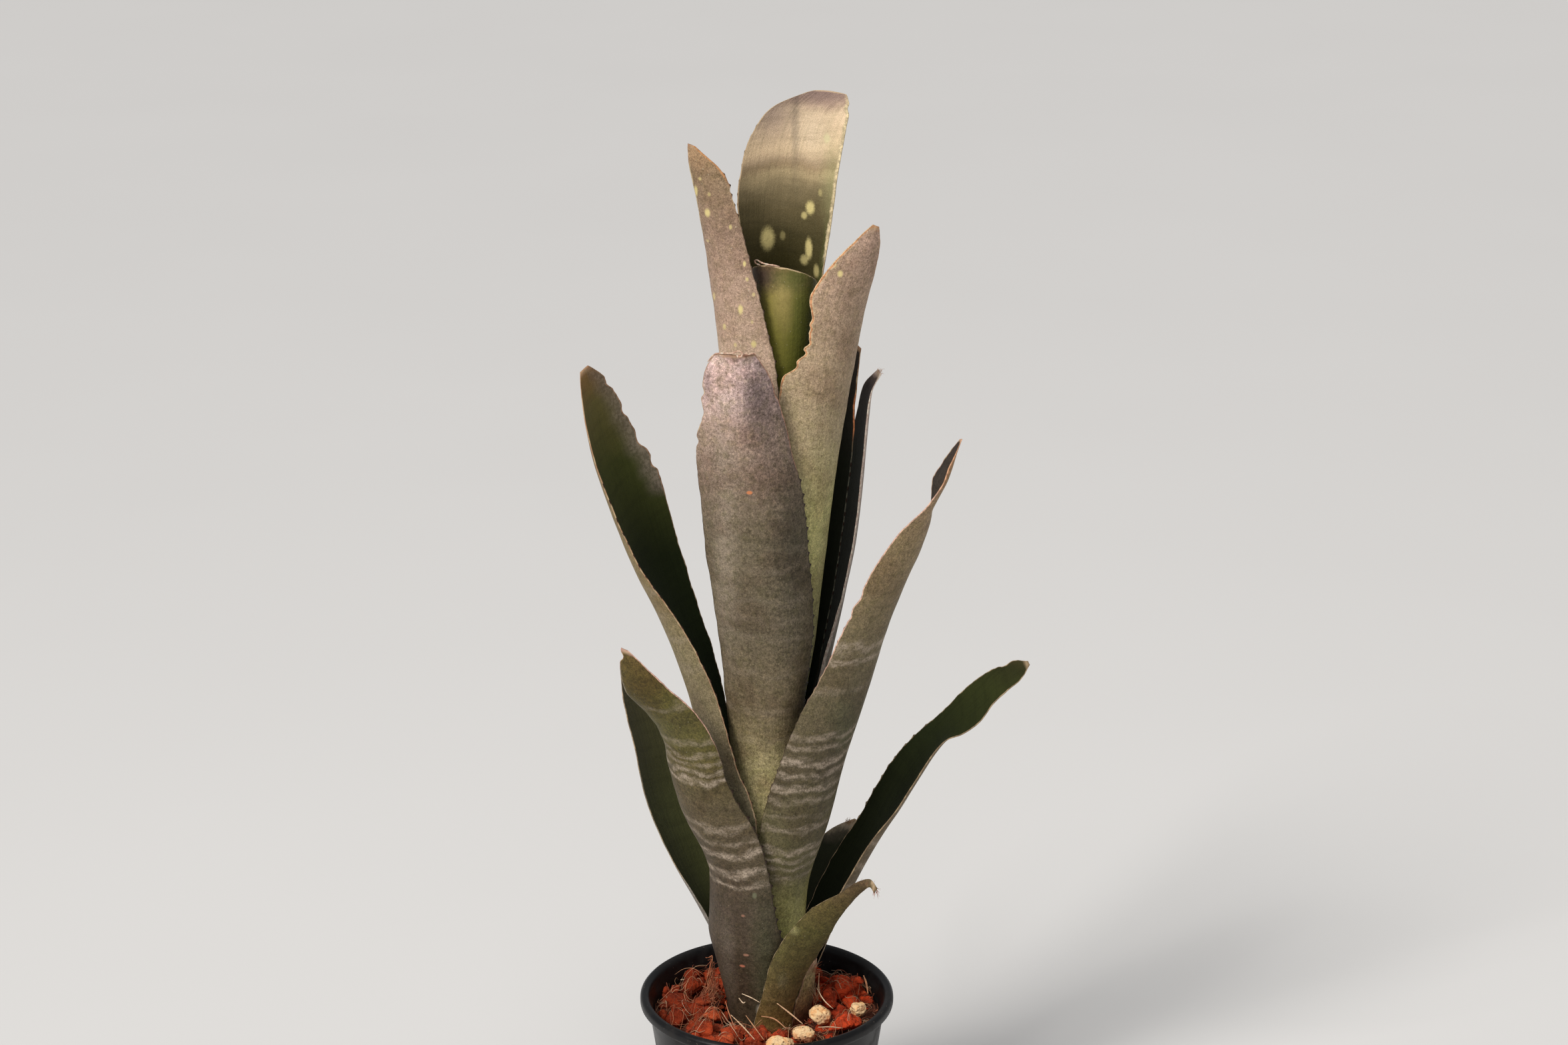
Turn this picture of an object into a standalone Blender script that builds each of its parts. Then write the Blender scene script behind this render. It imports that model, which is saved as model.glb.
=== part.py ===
"""A tube-shaped bromeliad in a small black nursery pot.

Fifteen leaves wrap one another around a short stem. Each leaf is one open sheet, lofted through
stations along its length and thickened afterwards. Lengths are in millimetres until a mesh is made,
+Z is up, -Y is the front, and the origin is the centre of the pot's flat bottom.
"""
import math
import random
from dataclasses import dataclass, field

import bmesh
import bpy
import numpy as np
from mathutils import Matrix, Vector

MM = 0.001

# Pot, sizes in mm
RIM_RADIUS = 50.0
RIM_TOP = 89.0
LIP_INNER_RADIUS = 46.2
LIP_DEPTH = 4.6
BASE_RADIUS = 34.0
WALL = 1.4
FLOOR = 1.8
WALL_TOP_RADIUS = 46.0
POT_STEPS = 48
DRAIN_RADIUS = 4.0
DRAIN_CIRCLE = 22.0
DRAIN_COUNT = 4

# Bed of potting mix
FIT_GAP = 0.3
BED_TOP = 80.5
HOLE_RADIUS = 19.8
HOLE_FLOOR = 50.0
CHIP_COUNT = 32
CHIP_LONG = (10.0, 15.0)
CHIP_WIDE = (9.0, 12.5)
CHIP_THICK = (7.5, 10.5)
CHIP_POINTS = 16
CHIP_TILT = 0.5
CHIP_SEED = 11

# Short stem under the leaves
STOCK_RADIUS = 4.0
FLANGE_RADIUS = 17.6
FLANGE_HEIGHT = 6.0
STOCK_TOP = 78.0
SHEATH_FOOT = 64.0

# Leaves
BLADE = 0.8
LAYER = 1.5
LEAF_CLEARANCE = 1.25
PUSH_SLOPE = 0.15
SETTLE_ROUNDS = 4
INNER_RADIUS = 5.6
TOOTH_SPACING = 9.5
TOOTH_HEIGHT = 1.5
TOOTH_BASE = 1.6
HIDDEN_FOOT = 150.0


@dataclass(frozen=True)
class Station:
    """One cross-section of a leaf: its two margins, seen from outside, and how far it curls."""

    left: tuple
    right: tuple
    curl: float


@dataclass(frozen=True)
class Bite:
    """A missing piece of a margin: its side, height, depth and half length."""

    side: str
    height: float
    depth: float
    reach: float


@dataclass(frozen=True)
class Leaf:
    """A leaf: where its sheath wraps the stem, then the stations of its blade."""

    name: str
    azimuth: float
    wrap: float
    colour: tuple
    blade: tuple
    swell: float = 1.22
    sheath_top: float = 135.0
    rows: int = 20
    columns: int = 6
    bites: tuple = ()
    jag: float = 0.35
    teeth: tuple = field(default=())


def polar(height, radius, azimuth, wrap, centre=(0.0, 0.0)):
    """A station on a round sheath: both margins at one radius from the stem's axis."""

    def margin(angle):
        a = math.radians(angle)
        return (centre[0] + radius * math.sin(a), centre[1] - radius * math.cos(a), height)

    return Station(margin(azimuth - wrap), margin(azimuth + wrap), wrap)


OLIVE = (0.17, 0.21, 0.09)
SILVER_GREEN = (0.22, 0.24, 0.18)
PURPLE_GREY = (0.24, 0.21, 0.20)
DARK_GREEN = (0.07, 0.11, 0.05)
YELLOW_GREEN = (0.26, 0.30, 0.11)
DRY_TAN = (0.38, 0.30, 0.19)

LEAVES = (
    Leaf(
        "leaf_inner_tube", 0.0, 150.0, OLIVE,
        (
            polar(200.0, 7.2, 2.0, 150.0, (1.0, 0.0)),
            polar(300.0, 9.0, 5.0, 150.0, (3.5, 0.0)),
            polar(350.0, 10.4, 4.0, 150.0, (6.5, 0.0)),
            Station((2.5, 9.5, 386.5), (13.5, 9.5, 384.0), 150.0),
        ),
        swell=1.15, columns=12, rows=12, jag=0.2,
    ),
    Leaf(
        "leaf_back_top", 180.0, 65.0, SILVER_GREEN,
        (
            polar(200.0, 9.8, 180.0, 66.0, (1.0, 0.0)),
            Station((15.0, 6.0, 260.0), (-11.0, 6.0, 260.0), 62.0),
            Station((17.5, 7.5, 320.0), (-12.0, 7.5, 320.0), 58.0),
            Station((22.2, 9.0, 384.0), (-9.0, 10.0, 388.0), 50.0),
            Station((25.2, 10.0, 403.0), (-10.3, 10.0, 407.0), 42.0),
            Station((26.8, 10.0, 417.0), (-8.5, 10.0, 420.0), 38.0),
            Station((29.0, 11.0, 427.0), (-4.5, 11.0, 431.0), 32.0),
            Station((30.5, 11.5, 437.0), (3.0, 11.5, 440.0), 24.0),
            Station((31.2, 12.0, 442.5), (14.0, 12.5, 445.6), 14.0),
            Station((31.0, 12.0, 444.5), (24.0, 13.0, 447.0), 8.0),
        ),
        rows=24, teeth=(("right", 400.0, 435.0),),
    ),
    Leaf(
        "leaf_left_tall", -45.0, 62.0, PURPLE_GREY,
        (
            polar(200.0, 10.6, -42.0, 62.0, (0.5, 0.0)),
            Station((-12.0, 1.0, 250.0), (6.5, -11.5, 250.0), 60.0),
            Station((-14.3, 0.0, 300.0), (6.5, -13.5, 300.0), 56.0),
            Station((-17.0, -1.0, 350.0), (3.6, -14.0, 350.0), 48.0),
            Station((-19.6, -3.0, 373.5), (-1.0, -14.0, 370.5), 43.0),
            Station((-22.3, -5.0, 393.0), (-6.3, -14.0, 392.0), 38.0),
            Station((-25.4, -9.0, 413.0), (-12.0, -15.0, 413.0), 30.0),
            Station((-28.0, -13.0, 427.0), (-17.5, -15.0, 425.0), 18.0),
            Station((-28.0, -14.0, 432.5), (-25.0, -15.0, 431.5), 6.0),
        ),
        rows=22, teeth=(("right", 345.0, 422.0),),
    ),
    Leaf(
        "leaf_right_tall", 42.0, 60.0, SILVER_GREEN,
        (
            polar(200.0, 12.2, 42.0, 60.0, (0.5, 0.0)),
            Station((3.0, -13.8, 240.0), (18.0, 3.0, 240.0), 58.0),
            Station((3.5, -14.8, 268.0), (21.4, 3.0, 266.0), 56.0),
            Station((3.8, -15.3, 305.0), (26.2, 3.0, 305.0), 53.0),
            Station((5.0, -15.5, 340.0), (32.0, 2.0, 340.0), 47.0),
            Station((10.5, -15.0, 365.0), (36.3, 0.0, 365.0), 41.0),
            Station((18.5, -14.0, 380.0), (39.3, -3.0, 379.0), 33.0),
            Station((28.0, -13.0, 391.5), (41.6, -6.0, 390.5), 23.0),
            Station((35.8, -11.5, 399.0), (42.0, -8.5, 397.5), 12.0),
            Station((39.0, -10.5, 401.6), (41.5, -9.5, 400.5), 6.0),
        ),
        rows=26, bites=(Bite("left", 357.0, 7.0, 14.0),),
    ),
    Leaf(
        "leaf_back_right_upper", 150.0, 52.0, DARK_GREEN,
        (
            polar(190.0, 13.2, 148.0, 52.0),
            Station((20.5, 8.0, 225.0), (2.0, 19.5, 222.0), 50.0),
            Station((27.5, 11.0, 265.0), (6.0, 25.0, 262.0), 47.0),
            Station((31.5, 13.0, 297.0), (11.0, 28.0, 295.0), 45.0),
            Station((33.5, 15.0, 316.0), (15.0, 29.0, 315.0), 42.0),
            Station((34.5, 18.0, 334.0), (22.0, 29.0, 334.0), 32.0),
            Station((36.0, 21.0, 346.0), (31.0, 26.0, 349.0), 14.0),
        ),
        rows=20, teeth=(("left", 235.0, 305.0),), bites=(Bite("left", 322.0, 2.0, 10.0),),
    ),
    Leaf(
        "leaf_right_back_narrow", 115.0, 46.0, DARK_GREEN,
        (
            polar(180.0, 16.0, 112.0, 50.0),
            Station((20.5, 1.0, 222.0), (13.0, 23.0, 216.0), 52.0),
            Station((27.5, 4.0, 253.0), (18.5, 28.0, 247.0), 48.0),
            Station((31.8, 6.0, 276.0), (24.0, 31.5, 270.0), 45.0),
            Station((35.3, 9.0, 300.0), (29.0, 33.5, 294.0), 41.0),
            Station((37.8, 13.0, 320.0), (33.5, 34.0, 316.0), 34.0),
            Station((40.5, 17.0, 331.0), (38.0, 31.0, 330.0), 20.0),
            Station((43.5, 20.0, 336.0), (42.5, 25.0, 337.0), 8.0),
        ),
        rows=20,
    ),
    Leaf(
        "leaf_front_tall", -5.0, 58.0, PURPLE_GREY,
        (
            polar(195.0, 15.4, -3.0, 60.0),
            Station((-16.0, -12.0, 225.0), (15.5, -13.0, 225.0), 59.0),
            Station((-19.0, -15.0, 254.0), (17.8, -16.0, 250.0), 54.0),
            Station((-22.5, -17.0, 279.0), (16.0, -18.0, 277.0), 50.0),
            Station((-24.4, -19.0, 303.0), (14.0, -20.0, 300.0), 46.0),
            Station((-25.7, -20.5, 317.0), (11.0, -21.0, 315.0), 43.0),
            Station((-24.3, -22.0, 334.0), (6.8, -22.5, 332.0), 38.0),
            Station((-22.5, -24.0, 348.0), (2.0, -24.0, 347.0), 32.0),
            Station((-21.2, -24.8, 353.5), (-0.6, -25.2, 353.0), 29.0),
            Station((-18.6, -26.5, 357.6), (-3.6, -26.5, 357.2), 20.0),
        ),
        rows=24, bites=(Bite("left", 333.0, 1.8, 8.0), Bite("right", 318.0, 0.8, 8.0)),
        teeth=(("right", 178.0, 308.0),), jag=0.5,
    ),
    Leaf(
        "leaf_left_arching", -100.0, 58.0, SILVER_GREEN,
        (
            Station((-7.0, 18.0, 168.0), (-3.3, -20.0, 168.0), 64.0),
            Station((-14.0, 22.0, 195.0), (-12.0, -19.0, 195.0), 60.0),
            Station((-20.0, 26.0, 220.0), (-19.0, -15.5, 220.0), 58.0),
            Station((-28.0, 30.0, 245.0), (-31.3, -11.0, 245.0), 55.0),
            Station((-36.0, 34.0, 272.0), (-45.0, -7.0, 264.0), 50.0),
            Station((-43.0, 35.5, 297.0), (-55.0, -2.5, 283.0), 46.0),
            Station((-50.0, 35.0, 309.0), (-61.7, 2.0, 299.7), 42.0),
            Station((-57.0, 33.0, 324.0), (-67.0, 8.0, 316.0), 34.0),
            Station((-62.0, 30.0, 333.0), (-70.0, 16.0, 331.0), 24.0),
            Station((-67.5, 25.0, 338.5), (-70.2, 20.5, 337.0), 10.0),
        ),
        rows=24, jag=0.6, teeth=(("right", 170.0, 250.0),),
    ),
    Leaf(
        "leaf_right_arching", 40.0, 56.0, SILVER_GREEN,
        (
            Station((-2.5, -21.5, 168.0), (24.5, 1.0, 167.0), 58.0),
            Station((4.6, -22.0, 193.0), (31.0, 2.0, 192.0), 52.0),
            Station((12.5, -22.5, 214.0), (38.0, 1.5, 214.0), 47.0),
            Station((22.5, -22.5, 234.0), (43.5, 0.5, 234.0), 42.0),
            Station((31.4, -22.5, 255.0), (50.0, -1.5, 254.0), 38.0),
            Station((42.2, -22.5, 276.5), (58.0, -7.0, 275.5), 32.0),
            Station((51.7, -22.0, 289.5), (62.0, -11.0, 290.0), 26.0),
            Station((61.5, -21.0, 303.0), (67.0, -15.0, 303.5), 18.0),
            Station((66.0, -20.5, 314.0), (70.0, -17.5, 313.5), 12.0),
            Station((71.5, -20.0, 323.0), (72.8, -19.0, 322.0), 6.0),
        ),
        rows=24, teeth=(("left", 185.0, 250.0),), jag=0.5,
    ),
    Leaf(
        "leaf_low_right", 115.0, 46.0, DARK_GREEN,
        (
            Station((22.0, -3.0, 118.0), (15.0, 24.0, 112.0), 52.0),
            Station((31.8, 1.0, 136.5), (26.0, 33.0, 132.0), 47.0),
            Station((41.0, 5.5, 151.0), (37.6, 36.0, 150.0), 43.0),
            Station((51.0, 9.5, 162.5), (47.0, 38.5, 167.0), 38.0),
            Station((60.0, 14.0, 176.0), (58.0, 41.0, 180.5), 34.0),
            Station((69.0, 18.5, 187.0), (69.3, 41.0, 191.0), 30.0),
            Station((81.0, 23.0, 191.0), (80.0, 40.0, 203.0), 24.0),
            Station((91.0, 27.0, 202.0), (90.3, 38.0, 211.0), 18.0),
            Station((100.8, 29.5, 210.5), (99.0, 34.5, 215.5), 10.0),
            Station((103.3, 31.0, 214.5), (102.4, 32.5, 216.0), 5.0),
        ),
        sheath_top=92.0, swell=1.08, rows=22, teeth=(("right", 165.0, 200.0),),
    ),
    Leaf(
        "leaf_back_left_low", -135.0, 48.0, DARK_GREEN,
        (
            Station((-5.0, 22.0, 116.0), (-24.0, 0.0, 120.0), 50.0),
            Station((-16.0, 32.0, 140.0), (-39.0, 11.0, 142.0), 42.0),
            Station((-25.0, 36.0, 160.0), (-46.5, 18.0, 160.0), 38.0),
            Station((-33.0, 39.0, 182.0), (-52.0, 23.0, 183.0), 32.0),
            Station((-43.0, 40.0, 202.0), (-56.5, 28.0, 203.0), 22.0),
            Station((-52.0, 37.0, 212.0), (-57.5, 31.0, 211.5), 10.0),
        ),
        sheath_top=92.0, swell=1.08, rows=18,
    ),
    Leaf(
        "leaf_low_left", -25.0, 58.0, SILVER_GREEN,
        (
            Station((-19.3, -5.0, 130.0), (4.3, -20.5, 127.0), 58.0),
            Station((-23.7, -8.0, 152.0), (0.0, -24.0, 154.0), 54.0),
            Station((-32.0, -12.0, 171.0), (-4.3, -26.0, 169.0), 50.0),
            Station((-36.5, -15.0, 188.0), (-13.6, -29.0, 187.0), 46.0),
            Station((-39.8, -19.0, 205.5), (-18.6, -32.0, 206.0), 40.0),
            Station((-45.0, -23.0, 216.0), (-26.0, -34.0, 220.0), 34.0),
            Station((-53.0, -27.0, 227.0), (-37.0, -35.0, 231.0), 26.0),
            Station((-54.7, -29.5, 239.0), (-45.0, -34.5, 239.0), 14.0),
            Station((-54.0, -30.5, 245.0), (-51.0, -32.0, 244.0), 5.0),
        ),
        sheath_top=105.0, swell=1.18, rows=22, teeth=(("right", 118.0, 185.0),),
    ),
    Leaf(
        "leaf_back_right_small", 150.0, 36.0, SILVER_GREEN,
        (
            Station((19.0, 8.0, 106.0), (3.0, 20.0, 106.0), 45.0),
            Station((28.0, 16.0, 128.0), (14.0, 28.0, 130.0), 38.0),
            Station((35.0, 23.0, 145.0), (25.0, 32.0, 147.0), 28.0),
            Station((37.0, 27.0, 150.0), (32.0, 32.0, 152.0), 12.0),
        ),
        sheath_top=86.0, swell=1.05, rows=12, columns=4,
    ),
    Leaf(
        "leaf_basal_stub", 65.0, 34.0, DRY_TAN,
        (polar(92.0, 18.6, 66.0, 28.0), polar(105.0, 19.8, 68.0, 13.0)),
        sheath_top=76.0, swell=1.02, rows=8, columns=4, jag=1.0,
    ),
    Leaf(
        "leaf_front_small", 8.0, 26.0, YELLOW_GREEN,
        (
            polar(84.0, 18.4, 8.0, 24.0),
            Station((-1.8, -19.6, 96.0), (11.4, -17.4, 94.0), 34.0),
            Station((0.6, -21.0, 108.0), (15.4, -18.0, 105.0), 36.0),
            Station((4.6, -22.0, 118.0), (19.2, -20.0, 113.0), 36.0),
            Station((11.5, -24.0, 129.0), (23.4, -23.0, 122.0), 35.0),
            Station((18.6, -27.0, 138.0), (27.6, -27.0, 132.0), 33.0),
            Station((27.0, -31.0, 144.5), (32.0, -31.0, 140.0), 28.0),
            Station((35.5, -35.0, 152.0), (37.0, -34.5, 147.5), 20.0),
            Station((40.0, -37.0, 153.5), (39.6, -37.0, 150.0), 12.0),
            Station((42.3, -38.5, 150.5), (40.9, -38.3, 148.3), 6.0),
        ),
        sheath_top=74.0, swell=1.02, rows=18, columns=4,
    ),
)


def clear_scene():
    """Remove every object, so that only this model is left."""
    for obj in list(bpy.data.objects):
        bpy.data.objects.remove(obj, do_unlink=True)


def new_collection(name, hidden=False):
    """A collection linked to the scene."""
    collection = bpy.data.collections.new(name)
    collection.hide_render = hidden
    bpy.context.scene.collection.children.link(collection)
    return collection


def material(name, colour, roughness, metallic=0.0):
    """A Principled material."""
    made = bpy.data.materials.new(name)
    made.use_nodes = True
    shader = made.node_tree.nodes["Principled BSDF"]
    shader.inputs["Base Color"].default_value = (*colour, 1.0)
    shader.inputs["Roughness"].default_value = roughness
    shader.inputs["Metallic"].default_value = metallic
    return made


def object_from(bm, name, collection, made=None):
    """Turn a bmesh in mm into a smooth-shaded object in metres."""
    bmesh.ops.scale(bm, vec=(MM, MM, MM), verts=bm.verts)
    mesh = bpy.data.meshes.new(name)
    bm.to_mesh(mesh)
    bm.free()
    obj = bpy.data.objects.new(name, mesh)
    collection.objects.link(obj)
    if made:
        mesh.materials.append(made)
    return obj


def hide_helper(obj):
    """Mark an object as a cutter or a guide."""
    obj.hide_render = True
    obj.display_type = "WIRE"


def turned(name, profile, steps, collection, made=None):
    """A turned body: its profile, given in mm as (radius, height), revolved by a Screw."""
    bm = bmesh.new()
    verts = [bm.verts.new((radius, 0.0, height)) for radius, height in profile]
    for a, b in zip(verts, verts[1:]):
        bm.edges.new((a, b))
    obj = object_from(bm, name, collection, made)
    screw = obj.modifiers.new("Turn", "SCREW")
    screw.steps = screw.render_steps = steps
    screw.use_merge_vertices = True
    screw.merge_threshold = 0.00001
    screw.use_smooth_shade = True
    return obj


def boolean(obj, operation, name, collection=None, cutter=None):
    """Add an exact Boolean against one cutter or a collection of helpers."""
    modifier = obj.modifiers.new(name, "BOOLEAN")
    modifier.operation = operation
    modifier.solver = "EXACT"
    if collection:
        modifier.operand_type = "COLLECTION"
        modifier.collection = collection
    else:
        modifier.object = cutter


def cylinder(name, radius, bottom, top, collection, place=(0.0, 0.0), segments=24):
    """A closed cylinder helper, sizes in mm."""
    bm = bmesh.new()
    centre = Matrix.Translation((place[0], place[1], (bottom + top) / 2))
    bmesh.ops.create_cone(
        bm, cap_ends=True, segments=segments, radius1=radius, radius2=radius,
        depth=top - bottom, matrix=centre,
    )
    return object_from(bm, name, collection)


def wall_radius(height):
    """Outer radius of the pot's tapered wall."""
    return BASE_RADIUS + (WALL_TOP_RADIUS + WALL - BASE_RADIUS) * height / RIM_TOP


def build_pot(collection, cutters):
    """The pot: a tapered wall, a rolled lip and drainage holes in a flat floor."""
    lip_bottom = RIM_TOP - LIP_DEPTH
    outer = wall_radius(lip_bottom)
    profile = [(0.0, FLOOR), (wall_radius(FLOOR) - WALL, FLOOR)]
    profile += [(wall_radius(lip_bottom - 2.0) - WALL, lip_bottom - 2.0)]
    profile += [(LIP_INNER_RADIUS - 0.6, lip_bottom)]
    profile += [(LIP_INNER_RADIUS, RIM_TOP - 1.6), (LIP_INNER_RADIUS + 0.7, RIM_TOP - 0.4)]
    profile += [(LIP_INNER_RADIUS + 1.8, RIM_TOP), (RIM_RADIUS - 0.9, RIM_TOP - 0.4)]
    profile += [(RIM_RADIUS, RIM_TOP - 1.5), (RIM_RADIUS, RIM_TOP - 3.2), (RIM_RADIUS - 0.8, RIM_TOP - 4.2)]
    profile += [(outer + 0.5, lip_bottom), (wall_radius(lip_bottom - 1.5), lip_bottom - 1.5)]
    profile += [(wall_radius(2.0), 2.0), (BASE_RADIUS - 0.4, 0.6), (BASE_RADIUS - 1.2, 0.0), (0.0, 0.0)]
    black = material("black_plastic", (0.02, 0.02, 0.022), 0.38)
    pot = turned("pot", profile, POT_STEPS, collection, black)
    drains = []
    for k in range(DRAIN_COUNT):
        angle = 2 * math.pi * (k + 0.5) / DRAIN_COUNT
        place = (DRAIN_CIRCLE * math.cos(angle), DRAIN_CIRCLE * math.sin(angle))
        drains.append(cylinder(f"drain_{k}", DRAIN_RADIUS, -2.0, FLOOR + 2.0, cutters, place, 16))
    for drain in drains:
        hide_helper(drain)
        boolean(pot, "DIFFERENCE", "Drain", cutter=drain)
    return pot


def rough_lump(rng, size, sharp):
    """A broken lump: the hull of points scattered over an ellipsoid of the given size in mm."""
    bm = bmesh.new()
    for _ in range(sharp):
        direction = Vector([rng.gauss(0.0, 1.0) for _ in range(3)]).normalized()
        scale = rng.uniform(0.86, 1.0)
        bm.verts.new([direction[k] * size[k] * 0.5 * scale for k in range(3)])
    hull = bmesh.ops.convex_hull(bm, input=bm.verts)
    loose = [v for v in hull["geom_interior"] if isinstance(v, bmesh.types.BMVert)]
    bmesh.ops.delete(bm, geom=loose, context="VERTS")
    return bm


def pebble(rng, size):
    """A rounded stone: a sphere with softly moved vertices."""
    bm = bmesh.new()
    bmesh.ops.create_icosphere(bm, subdivisions=2, radius=0.5)
    for vert in bm.verts:
        swell = 1.0 + rng.uniform(-0.09, 0.07)
        vert.co = Vector([vert.co[k] * size[k] * swell for k in range(3)])
    return bm


STONES = (
    ("stone_a", (20.8, -14.2, 85.2), (9.2, 8.6, 8.4), 20.0),
    ("stone_b", (35.8, -8.4, 85.2), (7.2, 7.0, 6.6), 65.0),
    ("stone_c", (14.6, -26.4, 83.0), (10.0, 7.6, 6.8), -15.0),
    ("stone_d", (5.2, -35.0, 83.0), (11.5, 8.4, 7.4), 10.0),
)


def build_stones(collection, pockets):
    """The cream stones, and a slightly larger copy of each that cuts its pocket."""
    rng = random.Random(5)
    cream = material("cream_stone", (0.72, 0.66, 0.52), 0.85)
    for name, place, size, turn in STONES:
        bm = pebble(rng, size)
        matrix = Matrix.Translation(place) @ Matrix.Rotation(math.radians(turn), 4, "Z")
        bmesh.ops.transform(bm, matrix=matrix, verts=bm.verts)
        pocket = bm.copy()
        pocket.normal_update()
        for vert, normal in [(v, v.normal.copy()) for v in pocket.verts]:
            vert.co += normal * (FIT_GAP + 0.08)
        object_from(bm, name, collection, cream)
        hide_helper(object_from(pocket, f"{name}_pocket", pockets))


def chip_places(rng):
    """Places for the chips: a loose spiral over the ring between the plant and the pot's wall."""
    inner, outer = HOLE_RADIUS + 4.2, 38.6
    golden = math.pi * (3.0 - math.sqrt(5.0))
    for k in range(CHIP_COUNT):
        radius = math.sqrt(inner**2 + (outer**2 - inner**2) * (k + 0.5) / CHIP_COUNT)
        angle = golden * k + rng.uniform(-0.12, 0.12)
        yield radius * math.cos(angle), radius * math.sin(angle), radius


def build_chips(chips, ring_inner, ring_outer):
    """Rough chips lying on the bed, each turned at random and kept within the ring."""
    rng = random.Random(CHIP_SEED)
    for k, (x, y, radius) in enumerate(chip_places(rng)):
        size = [rng.uniform(*CHIP_LONG), rng.uniform(*CHIP_WIDE), rng.uniform(*CHIP_THICK)]
        room = 2 * min(radius - ring_inner, ring_outer - radius)
        size = [min(side, room) for side in size]
        bm = rough_lump(rng, size, CHIP_POINTS)
        turn = Matrix.Rotation(rng.uniform(0.0, math.pi), 4, "Z")
        turn @= Matrix.Rotation(rng.uniform(-CHIP_TILT, CHIP_TILT), 4, "X")
        place = Matrix.Translation((x, y, BED_TOP + rng.uniform(-0.6, 1.6)))
        bmesh.ops.transform(bm, matrix=place @ turn, verts=bm.verts)
        hide_helper(object_from(bm, f"chip_{k:02d}", chips))


def build_bed(collection, chips, pockets):
    """The potting mix: a turned body with a blind hole, fused chips and pockets for the stones."""
    brick = material("brick_chips", (0.36, 0.11, 0.06), 0.9)
    low, high = FLOOR + FIT_GAP, BED_TOP
    gap = WALL + FIT_GAP + 0.15
    edge = wall_radius(high) - gap
    profile = [(0.0, HOLE_FLOOR), (HOLE_RADIUS, HOLE_FLOOR), (HOLE_RADIUS, high - 1.0)]
    profile += [(HOLE_RADIUS + 3.0, high), (edge - 3.0, high)]
    profile += [(edge, high - 1.2), (wall_radius(low) - gap, low), (0.0, low)]
    bed = turned("bed", profile, 40, collection, brick)
    build_chips(chips, HOLE_RADIUS - 0.2, edge - 0.1)
    boolean(bed, "UNION", "Chips", collection=chips)
    boolean(bed, "DIFFERENCE", "Pockets", collection=pockets)
    return bed


def build_stock(collection):
    """The short stem and the flange that the leaf bases stand on."""
    low = HOLE_FLOOR + FIT_GAP
    flange_top = SHEATH_FOOT - FIT_GAP - 0.1
    profile = [(0.0, STOCK_TOP), (STOCK_RADIUS - 1.5, STOCK_TOP - 0.6)]
    profile += [(STOCK_RADIUS, STOCK_TOP - 3.0), (STOCK_RADIUS, flange_top)]
    profile += [(FLANGE_RADIUS, flange_top), (FLANGE_RADIUS, flange_top - FLANGE_HEIGHT)]
    profile += [(8.0, low + 2.0), (6.0, low), (0.0, low)]
    pale = material("pale_stem", (0.42, 0.36, 0.24), 0.8)
    return turned("stock", profile, 24, collection, pale)


def eased(knots, values, at):
    """Smooth curve through the values: cubic Hermite pieces with finite-difference slopes."""
    slopes = np.gradient(values, knots, axis=0)
    index = np.clip(np.searchsorted(knots, at, side="right") - 1, 0, len(knots) - 2)
    span = (knots[index + 1] - knots[index])[:, None]
    t = (at - knots[index])[:, None] / span
    a, b = values[index], values[index + 1]
    return (
        a * (2 * t**3 - 3 * t**2 + 1) + b * (3 * t**2 - 2 * t**3)
        + slopes[index] * span * (t**3 - 2 * t**2 + t) + slopes[index + 1] * span * (t**3 - t**2)
    )


@dataclass
class Sections:
    """The cross-sections of one leaf, row by row: margins, curl and the directions of each arc."""

    left: np.ndarray
    right: np.ndarray
    curl: np.ndarray
    span: np.ndarray

    def frames(self):
        """Middle, across, outward, along, arc radius of every row."""
        middle = (self.left + self.right) / 2
        across = self.right - self.left
        chord = np.linalg.norm(across, axis=1, keepdims=True)
        across = across / chord
        along = np.gradient(middle, self.span, axis=0)
        along -= across * np.sum(along * across, axis=1, keepdims=True)
        along /= np.linalg.norm(along, axis=1, keepdims=True)
        outward = np.cross(across, along)
        radius = chord[:, 0] / (2 * np.sin(self.curl))
        return middle, across, outward, along, radius

    def points(self, share):
        """Points of the sheet at the shares -1 to 1 across each row, one row of shares for each."""
        middle, across, outward, _, radius = self.frames()
        angle = share * self.curl[:, None]
        side = (radius[:, None] * np.sin(angle))[..., None] * across[:, None]
        rise = (radius[:, None] * (np.cos(angle) - np.cos(self.curl)[:, None]))[..., None]
        return middle[:, None] + side + rise * outward[:, None]


def sections_of(leaf, foot_radius, count):
    """Loft the leaf's stations into evenly eased cross-sections."""
    stations = []
    for rise, swell in ((0.0, 0.0), (0.5, 0.4), (1.0, 1.0)):
        height = SHEATH_FOOT + (leaf.sheath_top - SHEATH_FOOT) * rise
        radius = foot_radius * (1 + (leaf.swell - 1) * swell)
        stations.append(polar(height, radius, leaf.azimuth, leaf.wrap))
    stations += leaf.blade
    values = np.array([[*s.left, *s.right, math.radians(s.curl)] for s in stations])
    middle = (values[:, :3] + values[:, 3:6]) / 2
    knots = np.concatenate([[0.0], np.cumsum(np.linalg.norm(np.diff(middle, axis=0), axis=1))])
    at = knots[-1] * (1.0 - (1.0 - np.linspace(0.0, 1.0, count)) ** 1.2)
    rows = eased(knots, values, at)
    return Sections(rows[:, :3], rows[:, 3:6], rows[:, 6], at)


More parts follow.
